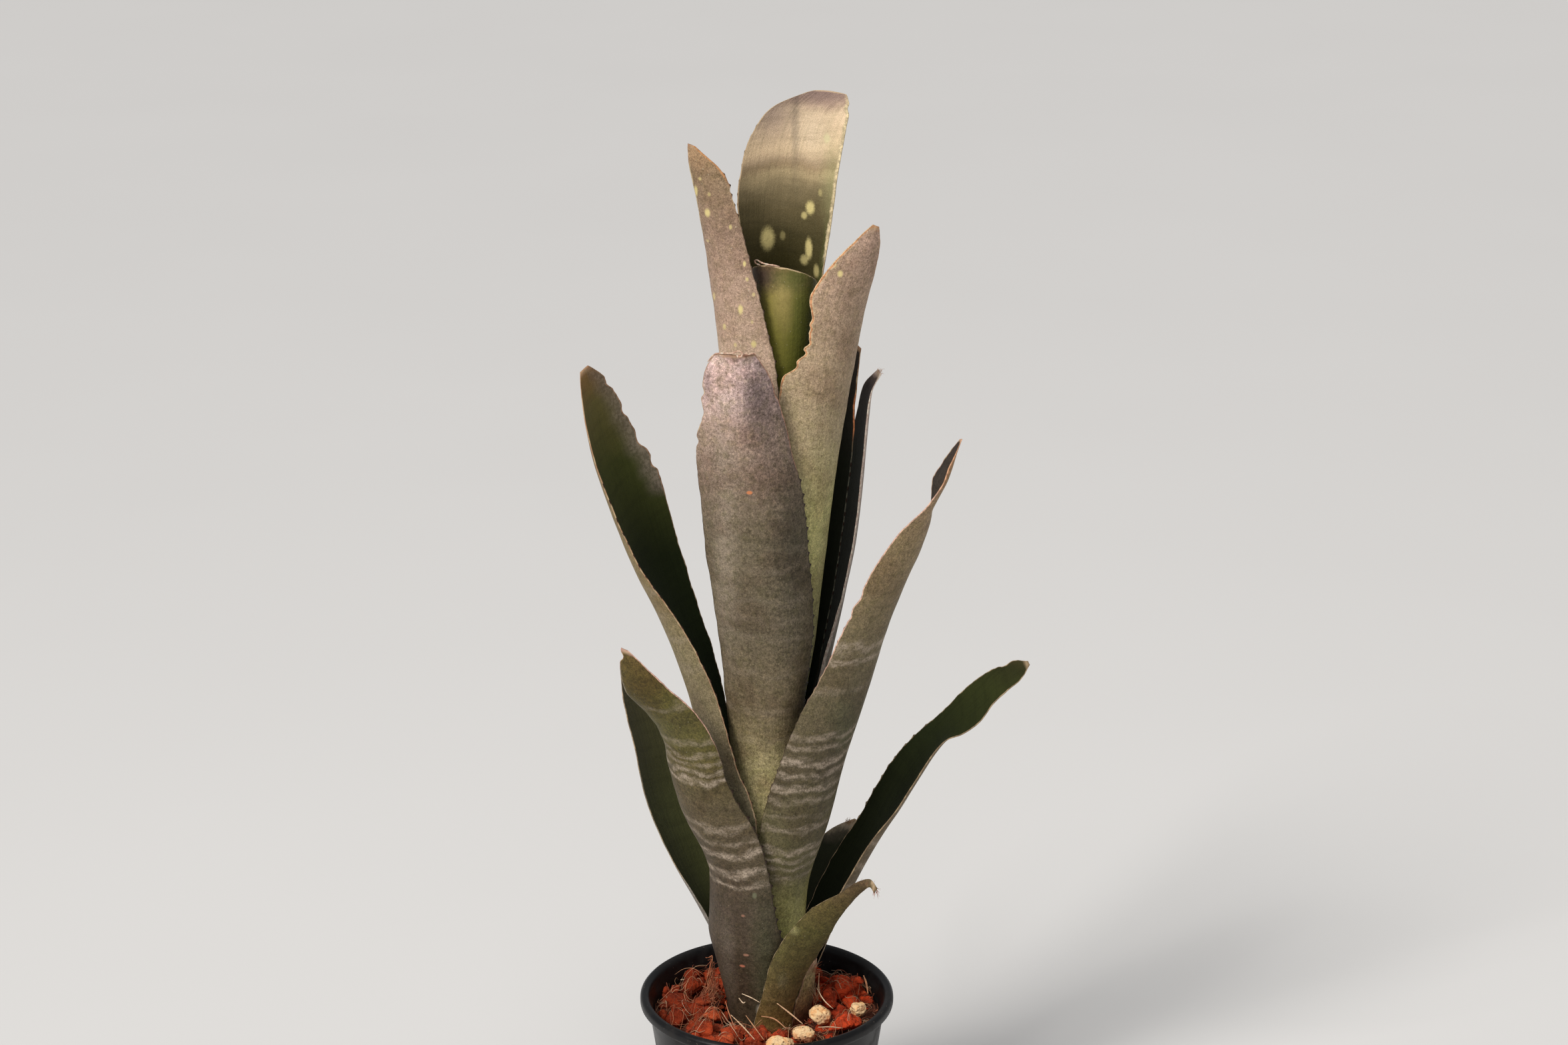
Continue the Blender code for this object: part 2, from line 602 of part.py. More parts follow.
def settle(sections, inner):
    """Ease each margin outward until the leaf clears every leaf inside it."""
    step = np.max(np.diff(sections.span))
    distance = np.abs(sections.span[:, None] - sections.span[None, :])
    for _ in range(SETTLE_ROUNDS):
        middle, across, outward, along, radius = sections.frames()
        push = np.zeros((2, len(middle)))
        for k, curl in enumerate(sections.curl):
            q = inner - (middle[k] - outward[k] * radius[k] * math.cos(curl))
            q = q[np.abs(q @ along[k]) < step * 0.6]
            side, rise = q @ across[k], q @ outward[k]
            turn = np.arctan2(side, rise) / curl
            excess = np.hypot(side, rise) - (radius[k] - LEAF_CLEARANCE)
            near = (np.abs(turn) < 1.08) & (excess > 0.0)
            if near.any():
                share = np.array([-turn[near], turn[near]])
                push[:, k] = np.max(excess[near] * np.clip(1.0 + 1.2 * share, 0.0, 1.0), axis=1)
        push = np.max(push[:, None, :] - PUSH_SLOPE * distance[None], axis=2).clip(0.0)
        lean = np.minimum(sections.curl * 0.7, math.radians(50.0))[:, None]
        for sign, name, amount in ((-1, "left", push[0]), (1, "right", push[1])):
            direction = outward * np.cos(lean) + sign * across * np.sin(lean)
            setattr(sections, name, getattr(sections, name) + direction * amount[:, None])


def margin_shares(leaf, sections, rng):
    """How far each row reaches to its left and right margin, after bites and small jags."""
    arc = sections.frames()[4] * sections.curl
    shares = {}
    for side, edge in (("left", sections.left), ("right", sections.right)):
        height = edge[:, 2]
        loss = leaf.jag * np.array([rng.random() for _ in height]) * (height > HIDDEN_FOOT)
        for bite in leaf.bites:
            if bite.side == side:
                near = np.clip(1 - ((height - bite.height) / bite.reach) ** 2, 0.0, 1.0)
                loss = loss + bite.depth * near**2
        shares[side] = 1.0 - np.clip(loss / arc, 0.0, 0.8)
    return shares


def add_tooth(bm, edge, height):
    """Split a small piece of a margin edge and pull a pointed tooth from it."""
    loop = edge.link_loops[0]
    first, second = loop.vert, loop.link_loop_next.vert
    inward = loop.link_loop_next.link_loop_next.vert.co
    outward = ((first.co + second.co) / 2 - inward)
    lengthwise = (second.co - first.co).normalized()
    outward = (outward - lengthwise * outward.dot(lengthwise)).normalized()
    share = TOOTH_BASE / edge.calc_length()
    _, start = bmesh.utils.edge_split(edge, first, 0.5 - share / 2)
    rest = next(e for e in start.link_edges if e.other_vert(start) is second)
    small, end = bmesh.utils.edge_split(rest, start, share / (0.5 + share / 2))
    small = next(e for e in end.link_edges if e.other_vert(end) is start)
    loop = small.link_loops[0]
    apex = bm.verts.new((start.co + end.co) / 2 + outward * height)
    bm.faces.new((loop.link_loop_next.vert, loop.vert, apex))


def margin_teeth(bm, leaf, columns):
    """Teeth along the listed stretches of the margins."""
    for side, low, high in leaf.teeth:
        column = columns[0] if side == "left" else columns[-1]
        edges = []
        for a, b in zip(column, column[1:]):
            if low < (a.co.z + b.co.z) / 2 < high:
                edges.append(next(e for e in a.link_edges if e.other_vert(a) is b))
        for edge in edges:
            pieces = max(1, round(edge.calc_length() / TOOTH_SPACING))
            start = edge.verts[0]
            finish = edge.verts[1]
            for k in range(pieces, 0, -1):
                if k > 1:
                    _, middle = bmesh.utils.edge_split(edge, start, 1.0 / k)
                    piece = next(e for e in middle.link_edges if e.other_vert(middle) is start)
                    edge = next(e for e in middle.link_edges if e.other_vert(middle) is finish)
                    add_tooth(bm, piece, TOOTH_HEIGHT)
                    start = middle
                else:
                    add_tooth(bm, edge, TOOTH_HEIGHT)


def build_leaf(leaf, foot_radius, inner, collection, rng):
    """One leaf: a lofted open sheet with its bites and teeth, thickened to the blade."""
    sections = sections_of(leaf, foot_radius, leaf.rows)
    if len(inner):
        settle(sections, inner)
    shares = margin_shares(leaf, sections, rng)
    across = np.linspace(0.0, 1.0, leaf.columns + 1)[None, :]
    share = -shares["left"][:, None] + (shares["left"] + shares["right"])[:, None] * across
    grid = sections.points(share)
    bm = bmesh.new()
    rows = [[bm.verts.new(point) for point in row] for row in grid]
    for lower, upper in zip(rows, rows[1:]):
        for k in range(leaf.columns):
            bm.faces.new((lower[k], lower[k + 1], upper[k + 1], upper[k]))
    margin_teeth(bm, leaf, ([row[0] for row in rows], [row[-1] for row in rows]))
    bmesh.ops.triangulate(bm, faces=bm.faces)
    green = material(f"{leaf.name}_colour", leaf.colour, 0.55)
    obj = object_from(bm, leaf.name, collection, green)
    obj.data.shade_smooth()
    thicken = obj.modifiers.new("Blade", "SOLIDIFY")
    thicken.thickness = BLADE * MM
    thicken.offset = 0.0
    fine = sections_of(leaf, foot_radius, 60)
    if len(inner):
        settle(fine, inner)
    return fine.points(np.tile(np.linspace(-1.0, 1.0, 17), (60, 1))).reshape(-1, 3)


def foot_radii():
    """Stack the sheaths: each starts at the smallest radius that clears those it overlaps."""
    placed = []
    for leaf in LEAVES:
        radius = INNER_RADIUS
        for azimuth, wrap, inner in placed:
            apart = abs((leaf.azimuth - azimuth + 180.0) % 360.0 - 180.0)
            if apart < leaf.wrap + wrap + 6.0:
                radius = max(radius, inner + LAYER)
        placed.append((leaf.azimuth, leaf.wrap, radius))
    return [radius for _, _, radius in placed]


def main():
    """Build the pot, its filling and the plant."""
    clear_scene()
    plant = new_collection("potted_bromeliad")
    cutters = new_collection("cutters", hidden=True)
    chips = new_collection("chips", hidden=True)
    pockets = new_collection("pockets", hidden=True)
    build_pot(plant, cutters)
    build_stones(plant, pockets)
    build_bed(plant, chips, pockets)
    build_stock(plant)
    rng = random.Random(3)
    inner = np.zeros((0, 3))
    for leaf, radius in zip(LEAVES, foot_radii()):
        sheet = build_leaf(leaf, radius, inner, plant, rng)
        inner = np.concatenate([inner, sheet])


main()
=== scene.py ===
"""A tube-shaped bromeliad in a black nursery pot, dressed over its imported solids.

The leaves are lofted from the stations of the solids in finer rows, with blades that thin towards
dried margins, teeth, torn tops and bitten edges. The pot, its bed of brick chips, the stones and the
coir fibres follow. Lengths are in millimetres until a mesh is made, +Z is up and -Y is the front.
"""
import logging
import math
import random
from dataclasses import dataclass, field
from enum import Enum
from typing import Any, Callable, Iterable, Sequence

import bmesh
import bpy
import numpy as np
from mathutils import Matrix, Vector, noise
from mathutils.bvhtree import BVHTree


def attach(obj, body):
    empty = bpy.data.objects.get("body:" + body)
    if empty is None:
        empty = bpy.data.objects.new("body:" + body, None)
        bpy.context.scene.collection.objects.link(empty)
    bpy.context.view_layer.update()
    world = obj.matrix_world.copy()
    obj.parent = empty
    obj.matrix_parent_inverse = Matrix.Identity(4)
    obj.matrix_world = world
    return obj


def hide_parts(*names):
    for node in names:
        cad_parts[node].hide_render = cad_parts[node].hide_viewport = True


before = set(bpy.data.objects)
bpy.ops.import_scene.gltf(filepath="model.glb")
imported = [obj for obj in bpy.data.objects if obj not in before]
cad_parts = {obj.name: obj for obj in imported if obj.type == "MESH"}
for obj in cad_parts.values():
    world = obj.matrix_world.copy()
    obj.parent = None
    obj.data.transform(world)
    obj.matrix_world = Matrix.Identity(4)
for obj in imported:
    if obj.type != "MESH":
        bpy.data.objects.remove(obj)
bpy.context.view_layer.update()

Colour = tuple[float, float, float]
Point = tuple[float, float, float]
Span = tuple[float, float]
Faces = list[tuple[int, ...]]
Material = bpy.types.Material
Object = bpy.types.Object
Stops = tuple[tuple[float, Colour], ...]

MM = 0.001
LOG = logging.getLogger("bromeliad")


class Value:
    """A shader socket in an expression: each operation on it adds one Math node."""

    def __init__(self, shader: "Shader", socket: bpy.types.NodeSocket) -> None:
        """Wrap one output socket of a shader."""
        self.shader = shader
        self.socket = socket

    def __add__(self, other: Any) -> "Value":
        """Sum of two values."""
        return self.shader.math("ADD", self, other)

    def __sub__(self, other: Any) -> "Value":
        """Difference of two values."""
        return self.shader.math("SUBTRACT", self, other)

    def __rsub__(self, other: Any) -> "Value":
        """Difference with a number first."""
        return self.shader.math("SUBTRACT", other, self)

    def __mul__(self, other: Any) -> "Value":
        """Product of two values."""
        return self.shader.math("MULTIPLY", self, other)

    def __truediv__(self, other: Any) -> "Value":
        """Quotient of two values."""
        return self.shader.math("DIVIDE", self, other)

    def __rtruediv__(self, other: Any) -> "Value":
        """Quotient with a number first."""
        return self.shader.math("DIVIDE", other, self)

    __radd__ = __add__
    __rmul__ = __mul__


class Shader:
    """A material whose nodes are added through expressions."""

    def __init__(self, name: str) -> None:
        """Start a material without nodes.

        Args:
            name: Name of the material.
        """
        self.material = bpy.data.materials.new(name)
        self.material.use_nodes = True
        self.tree = self.material.node_tree
        self.tree.nodes.clear()

    def node(
        self, kind: str, settings: dict[str, Any] | None = None, sockets: dict[Any, Any] | None = None
    ) -> bpy.types.Node:
        """Add a node.

        Args:
            kind: The node's type without its common prefix.
            settings: Properties, which are set first; "stops" are a ramp's (position, colour) pairs.
            sockets: Values or links of the input sockets, by name or index.

        Returns:
            The new node.
        """
        made = self.tree.nodes.new("ShaderNode" + kind)
        for key, value in (settings or {}).items():
            if key == "stops":
                elements = made.color_ramp.elements
                while len(elements) < len(value):
                    elements.new(1.0)
                for element, (position, colour) in zip(elements, value):
                    element.position = position
                    element.color = (*colour, 1.0)
            else:
                setattr(made, key, value)
        for key, value in (sockets or {}).items():
            socket = made.inputs[key]
            if isinstance(value, Value):
                self.tree.links.new(value.socket, socket)
            elif isinstance(value, tuple) and socket.type == "RGBA":
                socket.default_value = (*value, 1.0)
            else:
                socket.default_value = value
        return made

    def value(self, node: bpy.types.Node, output: str | int = 0) -> Value:
        """One output of a node as a value."""
        return Value(self, node.outputs[output])

    def math(self, operation: str, first: Any, second: Any = 0.0) -> Value:
        """One Math node."""
        return self.value(self.node("Math", {"operation": operation}, {0: first, 1: second}))

    def vector(self, operation: str, first: Any, second: Any, output: str = "Vector") -> Value:
        """One Vector Math node."""
        made = self.node("VectorMath", {"operation": operation}, {0: first, 1: second})
        return self.value(made, output)

    def mix(self, first: Any, second: Any, factor: Any, blend: str = "MIX") -> Value:
        """Mix two colours.

        Args:
            first: Colour at factor 0.
            second: Colour at factor 1.
            factor: Share of the second colour.
            blend: Blend type of the Mix node.

        Returns:
            The mixed colour.
        """
        settings = {"data_type": "RGBA", "blend_type": blend, "clamp_factor": True}
        return self.value(self.node("Mix", settings, {0: factor, 6: first, 7: second}), 2)

    def smooth(self, value: Value, low: float, high: float, start: float = 0.0, end: float = 1.0) -> Value:
        """Ease from start to end while the value goes from low to high."""
        sockets = {"Value": value, "From Min": low, "From Max": high, "To Min": start, "To Max": end}
        return self.value(self.node("MapRange", {"interpolation_type": "SMOOTHSTEP"}, sockets))

    def layer(
        self, colour: Any, tint: Colour, value: Value, low: float, high: float, share: Any,
        start: float = 0.0, end: float = 1.0, blend: str = "MIX",
    ) -> Value:
        """Lay a tint over a colour where a value lies past two levels.

        Args:
            colour: Colour under the tint.
            tint: The tint.
            value: What the tint follows.
            low: Level at which it starts to change.
            high: Level at which it has changed.
            share: Greatest share of the tint.
            start: Mask below the low level.
            end: Mask above the high level.
            blend: Blend type of the Mix node.

        Returns:
            The colour with the tint.
        """
        return self.mix(colour, tint, self.smooth(value, low, high, start, end) * share, blend)

    def noise(self, place: Value, scale: float, detail: float = 2.0, roughness: float = 0.5) -> Value:
        """Noise at a place, with lumps of about 1 / scale."""
        sockets = {"Vector": place, "Scale": scale, "Detail": detail, "Roughness": roughness}
        return self.value(self.node("TexNoise", {}, sockets), "Fac")

    def cells(self, place: Value, scale: float) -> Value:
        """Distance to the nearest of scattered points."""
        return self.value(self.node("TexVoronoi", {}, {"Vector": place, "Scale": scale}), "Distance")

    def ramp(self, value: Value, stops: Sequence[tuple[float, Colour]]) -> Value:
        """Colours along a value from 0 to 1."""
        return self.value(self.node("ValToRGB", {"stops": stops}, {"Fac": value}))

    def attribute(self, name: str, output: str = "Vector") -> Value:
        """A named attribute of the mesh."""
        made = self.node("Attribute", {"attribute_name": name, "attribute_type": "GEOMETRY"})
        return self.value(made, output)

    def split(self, vector: Value) -> tuple[Value, Value, Value]:
        """The three parts of a vector."""
        made = self.node("SeparateXYZ", {}, {0: vector})
        return self.value(made, 0), self.value(made, 1), self.value(made, 2)

    def join(self, x: Any, y: Any, z: Any) -> Value:
        """A vector from three parts."""
        return self.value(self.node("CombineXYZ", {}, {0: x, 1: y, 2: z}))

    def place(self) -> Value:
        """The place on the object, in millimetres."""
        made = self.node("TexCoord")
        return self.vector("MULTIPLY", self.value(made, "Object"), (1000.0, 1000.0, 1000.0))

    def bump(self, height: Value, strength: float) -> Value:
        """A Normal raised by a height in millimetres."""
        sockets = {"Height": height, "Strength": strength, "Distance": MM}
        return self.value(self.node("Bump", {}, sockets))

    def surface(self, colour: Any, roughness: Any, normal: Value | None = None, **constants: Any) -> Material:
        """Close the material with a Principled surface.

        Args:
            colour: Base colour.
            roughness: Roughness.
            normal: Normal, if the surface is not smooth.
            constants: Further sockets, with underscores for spaces.

        Returns:
            The finished material.
        """
        sockets = {"Base Color": colour, "Roughness": roughness}
        if normal:
            sockets["Normal"] = normal
        sockets.update({key.replace("_", " "): value for key, value in constants.items()})
        shader = self.node("BsdfPrincipled", {}, sockets)
        self.node("OutputMaterial", {}, {"Surface": self.value(shader)})
        return self.material


class Side(Enum):
    """A margin of a leaf, as seen from outside with the tip up."""

    LEFT = 0
    RIGHT = 1


class Face(Enum):
    """A face of a leaf's blade."""

    OUTER = 0
    INNER = 1


@dataclass(frozen=True)
class Station:
    """One cross-section of a leaf: its two margins and how far it curls, in degrees."""

    left: Point
    right: Point
    curl: float


@dataclass(frozen=True)
class Bite:
    """A missing piece of a margin: its side, height, depth and half length."""

    side: Side
    height: float
    depth: float
    reach: float


@dataclass(frozen=True)
class Teeth:
    """A row of teeth on one margin between two heights."""

    side: Side
    low: float
    high: float
    tall: float = 1.2


@dataclass(frozen=True)
class Spot:
    """An oval mark on a leaf, by its place in the front view and its half sizes; some are painted highlights
    and painted shade.
    """

    x: float
    z: float
    wide: float
    tall: float
    colour: Colour = (0.82, 0.68, 0.29)
    strength: float = 0.8
    soft: float = 0.55

    @property
    def wash(self) -> bool:
        """Whether the mark is a soft tint that lies under the grain of the leaf."""
        return self.soft >= 0.8


@dataclass(frozen=True)
class Edging:
    """A coloured strip along one margin between two heights; one is a painted sheen."""

    side: Side
    low: float
    high: float
    width: float
    colour: Colour
    strength: float = 0.9
    soft: float = 0.5

    @property
    def wash(self) -> bool:
        """Whether the strip is a broad tint that lies under the grain of the leaf."""
        return self.width > 3.0


def polar(
    height: float, radius: float, azimuth: float, wrap: float, centre: Span = (0.0, 0.0)
) -> Station:
    """A station on a round sheath.

    Args:
        height: Height of the station.
        radius: Distance of both margins from the centre.
        azimuth: Direction of the midrib in degrees, 0 at the front and 90 at the right.
        wrap: Degrees from the midrib to each margin.
        centre: Place of the sheath's axis.

    Returns:
        The station.
    """
    margins = []
    for angle in (math.radians(azimuth - wrap), math.radians(azimuth + wrap)):
        margins.append((centre[0] + radius * math.sin(angle), centre[1] - radius * math.cos(angle), height))
    return Station(margins[0], margins[1], wrap)


def eased(knots: np.ndarray, values: np.ndarray, at: np.ndarray) -> np.ndarray:
    """Smooth curve through values.

    Args:
        knots: Rising positions of the values.
        values: One row for each knot.
        at: Positions to read.

    Returns:
        One row for each position.
    """
    slopes = np.gradient(values, knots, axis=0)
    index = np.clip(np.searchsorted(knots, at, side="right") - 1, 0, len(knots) - 2)
    span = (knots[index + 1] - knots[index])[:, None]
    t = (at - knots[index])[:, None] / span
    low, high = values[index], values[index + 1]
    curve = low * (2 * t**3 - 3 * t**2 + 1) + high * (3 * t**2 - 2 * t**3)
    return curve + slopes[index] * span * (t**3 - 2 * t**2 + t) + slopes[index + 1] * span * (t**3 - t**2)


def soft_noise(x: float, y: float, seed: float) -> float:
    """Smooth noise from -1 to 1."""
    return noise.noise(Vector((x, y, seed)))


def waves(terms: Iterable[Point], at: float, seed: float) -> float:
    """Sum of smooth noises, each of a strength, a number of lumps for each unit and a depth."""
    return sum(strength * soft_noise(at * scale, depth, seed) for strength, scale, depth in terms)


@dataclass
class Sections:
    """The cross-sections of one leaf, row by row."""

    left: np.ndarray
    right: np.ndarray
    curl: np.ndarray
    span: np.ndarray

    def frames(self) -> tuple[np.ndarray, ...]:
        """The frame of every row.

        Returns:
            Middle, across, outward, along and arc radius.
        """
        middle = (self.left + self.right) / 2
        across = self.right - self.left
        chord = np.linalg.norm(across, axis=1, keepdims=True)
        across = across / chord
        along = np.gradient(middle, self.span, axis=0)
        along -= across * np.sum(along * across, axis=1, keepdims=True)
        along /= np.linalg.norm(along, axis=1, keepdims=True)
        outward = np.cross(across, along)
        return middle, across, outward, along, chord[:, 0] / (2 * np.sin(self.curl))

    def points(self, share: np.ndarray) -> tuple[np.ndarray, np.ndarray]:
        """Points and outward normals of the sheet.

        Args:
            share: Shares from -1 to 1 across each row.

        Returns:
            The points and the normals, one for each share.
        """
        middle, across, outward, _, radius = self.frames()
        angle = (share * self.curl[:, None])[..., None]
        turned = np.sin(angle) * across[:, None] + np.cos(angle) * outward[:, None]
        centre = middle - outward * (radius * np.cos(self.curl))[:, None]
        return centre[:, None] + turned * radius[:, None, None], turned

    def finer(self, step: float, fine_from: float) -> "Sections":
        """The same leaf with more rows.

        Args:
            step: Distance between rows on the blade.
            fine_from: Height below which rows are wide apart.

        Returns:
            The finer cross-sections.
        """
        heights = (self.left[:, 2] + self.right[:, 2]) / 2
        start = float(np.interp(fine_from, heights, self.span))
        foot = np.arange(0.0, start - BladeSizes.foot_gap, BladeSizes.foot_step)
        count = max(BladeSizes.fewest_rows, round((self.span[-1] - start) / step))
        blade = np.linspace(start, self.span[-1], count)
        at = np.concatenate([foot, blade])
        rows = eased(self.span, np.hstack([self.left, self.right, self.curl[:, None]]), at)
        return Sections(rows[:, :3], rows[:, 3:6], rows[:, 6], at)


class PlantSizes:
    """Sizes shared by all the leaves."""

    sheath_foot = 64.0
    sheath_swell = ((0.0, 0.0), (0.5, 0.4), (1.0, 1.0))
    crowding = 1.2
    layer = 1.5
    inner_radius = 5.6
    overlap = 6.0
    clearance = 1.25
    slice_share = 0.6
    beyond_margin = 1.08
    push_slope = 0.15
    push_share = 1.2
    lean_share = 0.7
    lean_limit = math.radians(50.0)
    settle_rounds = 4
    first_seed = 100


class BladeSizes:
    """Sizes of the blades: their rows and columns, thickness, margins, teeth and torn tops."""

    hidden_foot = 84.0
    foot_gap = 2.0
    foot_step = 5.0
    fewest_rows = 8
    row_step = 0.8
    half_columns = 12
    crowding = 1.6
    cloud_rows = 60
    cloud_columns = 17
    middle_thickness = 1.0
    margin_thickness = 0.38
    thinning = 2.5
    thin_tip = 12.0
    thin_tip_share = 0.45
    margin_waves = ((1.0, 0.16, 0.0), (0.6, 0.55, 4.0))
    bite_waves = ((1.0, 0.4, 7.0),)
    tear_waves = ((1.0, 2.2, 0.0), (0.5, 7.0, 2.0))
    torn_depth = 9.0
    torn_fade = 1.5
    peak_reach = 3.0
    uneven_rise = 40.0
    uneven_scale = (0.05, 0.9)
    curl_height = 1.2
    curl_scale = 0.13
    jag_share = 0.45
    wave_share = 0.75
    fray_share = 0.25
    loss_limits = (-0.05, 0.8)
    tooth_pitch = 5.0
    tooth_spread = (0.75, 1.25)
    tooth_height = (0.55, 1.0)
    tooth_shoulder = 0.35


@dataclass(frozen=True)
class LeafForm:
    """Where a leaf's sheath wraps the stem, the stations of its blade, and its edges."""

    name: str
    azimuth: float
    wrap: float
    blade: tuple[Station, ...]
    swell: float = 1.22
    sheath_top: float = 135.0
    rows: int = 20
    bites: tuple[Bite, ...] = ()
    teeth: tuple[Teeth, ...] = ()
    jag: float = 0.35
    torn: float = 0.0
    peak: float = 0.0
    ripple: float = 0.25

    def sections(self, foot_radius: float, count: int) -> Sections:
        """Loft the stations into evenly eased cross-sections.

        Args:
            foot_radius: Radius of the sheath at its foot.
            count: Number of rows.

        Returns:
            The cross-sections.
        """
        stations = []
        for rise, swell in PlantSizes.sheath_swell:
            height = PlantSizes.sheath_foot + (self.sheath_top - PlantSizes.sheath_foot) * rise
            radius = foot_radius * (1 + (self.swell - 1) * swell)
            stations.append(polar(height, radius, self.azimuth, self.wrap))
        stations += self.blade
        values = np.array([[*s.left, *s.right, math.radians(s.curl)] for s in stations])
        middle = (values[:, :3] + values[:, 3:6]) / 2
        knots = np.concatenate([[0.0], np.cumsum(np.linalg.norm(np.diff(middle, axis=0), axis=1))])
        at = knots[-1] * (1.0 - (1.0 - np.linspace(0.0, 1.0, count)) ** PlantSizes.crowding)
        rows = eased(knots, values, at)
        return Sections(rows[:, :3], rows[:, 3:6], rows[:, 6], at)


def settle(sections: Sections, inner: np.ndarray) -> None:
    """Ease each margin outward until the leaf clears every leaf inside it.

    Args:
        sections: Cross-sections, which are moved.
        inner: Points on the leaves inside this one.
    """
    step = np.max(np.diff(sections.span))
    distance = np.abs(sections.span[:, None] - sections.span[None, :])
    for _ in range(PlantSizes.settle_rounds):
        middle, across, outward, along, radius = sections.frames()
        push = np.zeros((2, len(middle)))
        for k, curl in enumerate(sections.curl):
            q = inner - (middle[k] - outward[k] * radius[k] * math.cos(curl))
            q = q[np.abs(q @ along[k]) < step * PlantSizes.slice_share]
            side, rise = q @ across[k], q @ outward[k]
            turn = np.arctan2(side, rise) / curl
            excess = np.hypot(side, rise) - (radius[k] - PlantSizes.clearance)
            near = (np.abs(turn) < PlantSizes.beyond_margin) & (excess > 0.0)
            if near.any():
                share = np.array([-turn[near], turn[near]])
                weight = np.clip(1.0 + PlantSizes.push_share * share, 0.0, 1.0)
                push[:, k] = np.max(excess[near] * weight, axis=1)
        push = np.max(push[:, None, :] - PlantSizes.push_slope * distance[None], axis=2).clip(0.0)
        lean = np.minimum(sections.curl * PlantSizes.lean_share, PlantSizes.lean_limit)[:, None]
        left = outward * np.cos(lean) - across * np.sin(lean)
        right = outward * np.cos(lean) + across * np.sin(lean)
        sections.left = sections.left + left * push[0][:, None]
        sections.right = sections.right + right * push[1][:, None]


def link(name: str, data: bpy.types.ID) -> Object:
    """Make an object and link it to the scene.

    Args:
        name: Name of the object.
        data: Its mesh, light or camera.

    Returns:
        The object.
    """
    obj = bpy.data.objects.new(name, data)
    bpy.context.scene.collection.objects.link(obj)
    return obj


def mesh_of(name: str, bm: bmesh.types.BMesh) -> bpy.types.Mesh:
    """Turn gathered faces into a mesh.

    Args:
        name: Name of the mesh.
        bm: The gathered faces, which are freed.

    Returns:
        The mesh.
    """
    mesh = bpy.data.meshes.new(name)
    bm.to_mesh(mesh)
    bm.free()
    return mesh


def smooth_object(name: str, verts: Sequence, faces: Iterable[Sequence[int]], material: Material) -> Object:
    """Make a smooth-shaded object in metres from points in millimetres.

    Args:
        name: Name of the object.
        verts: Points.
        faces: Rings of indices.
        material: Its material.

    Returns:
        The object, linked to the scene.
    """
    mesh = bpy.data.meshes.new(name)
    mesh.from_pydata((np.asarray(verts, float) * MM).tolist(), [], [list(face) for face in faces])
    bm = bmesh.new()
    bm.from_mesh(mesh)
    bmesh.ops.recalc_face_normals(bm, faces=bm.faces)
    bm.to_mesh(mesh)
    bm.free()
    mesh.shade_smooth()
    mesh.materials.append(material)
    return link(name, mesh)


def set_numbers(obj: Object, name: str, kind: str, numbers: np.ndarray) -> None:
    """Store one number or vector for each point of a mesh."""
    made = obj.data.attributes.new(name, kind, "POINT")
    made.data.foreach_set("vector" if kind == "FLOAT_VECTOR" else "value", numbers.astype(np.float32).ravel())


def settle_in(obj: Object, slot: str, *nodes: str) -> None:
    """Let a piece ride on the plant and stand for nodes of the solids, which it hides.

    Args:
        obj: The piece.
        slot: Not used.
        nodes: Nodes that it replaces.
    """
    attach(obj, "root")
    if nodes:
        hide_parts(*nodes)
    LOG.info("%s: %d faces", obj.name, len(obj.data.polygons))


class Tones:
    """Colours that several pieces share."""

    lit = (1.85, 1.88, 1.95)
    silver = (0.60, 0.53, 0.40)
    band = (0.45, 0.36, 0.275)
    rim = (0.34, 0.19, 0.11)
    pale_rim = (0.55, 0.40, 0.24)
    tooth = (0.035, 0.018, 0.012)
    scar = (0.40, 0.20, 0.13)
    orange_scar = (0.62, 0.22, 0.09)
    cream = (0.62, 0.50, 0.30)
    bitten = (0.46, 0.22, 0.09)


@dataclass(frozen=True)
class LeafFinish:
    """Colours by height on both faces of a leaf, and the marks on them; on some leaves these hold painted
    light and shade.
    """

    slot: str
    outer: Stops
    inner: Stops
    scurf: float = 0.5
    inner_scurf: float = 0.12
    blotch: float = 0.35
    rim: Colour = Tones.rim
    rim_width: float = 0.34
    rim_from: float = 0.0
    dry_tip: float = 2.0
    streaked: float = 0.4
    bands: tuple[tuple[float, float, float], ...] = ()
    spots: tuple[Spot, ...] = ()
    spotted: Face = Face.OUTER
    edgings: tuple[Edging, ...] = ()
    flecks: float = 0.25
    grit: float = 1.0
    roughness: float = 0.58
    inner_roughness: float = 0.5
    gloss: float = 0.22


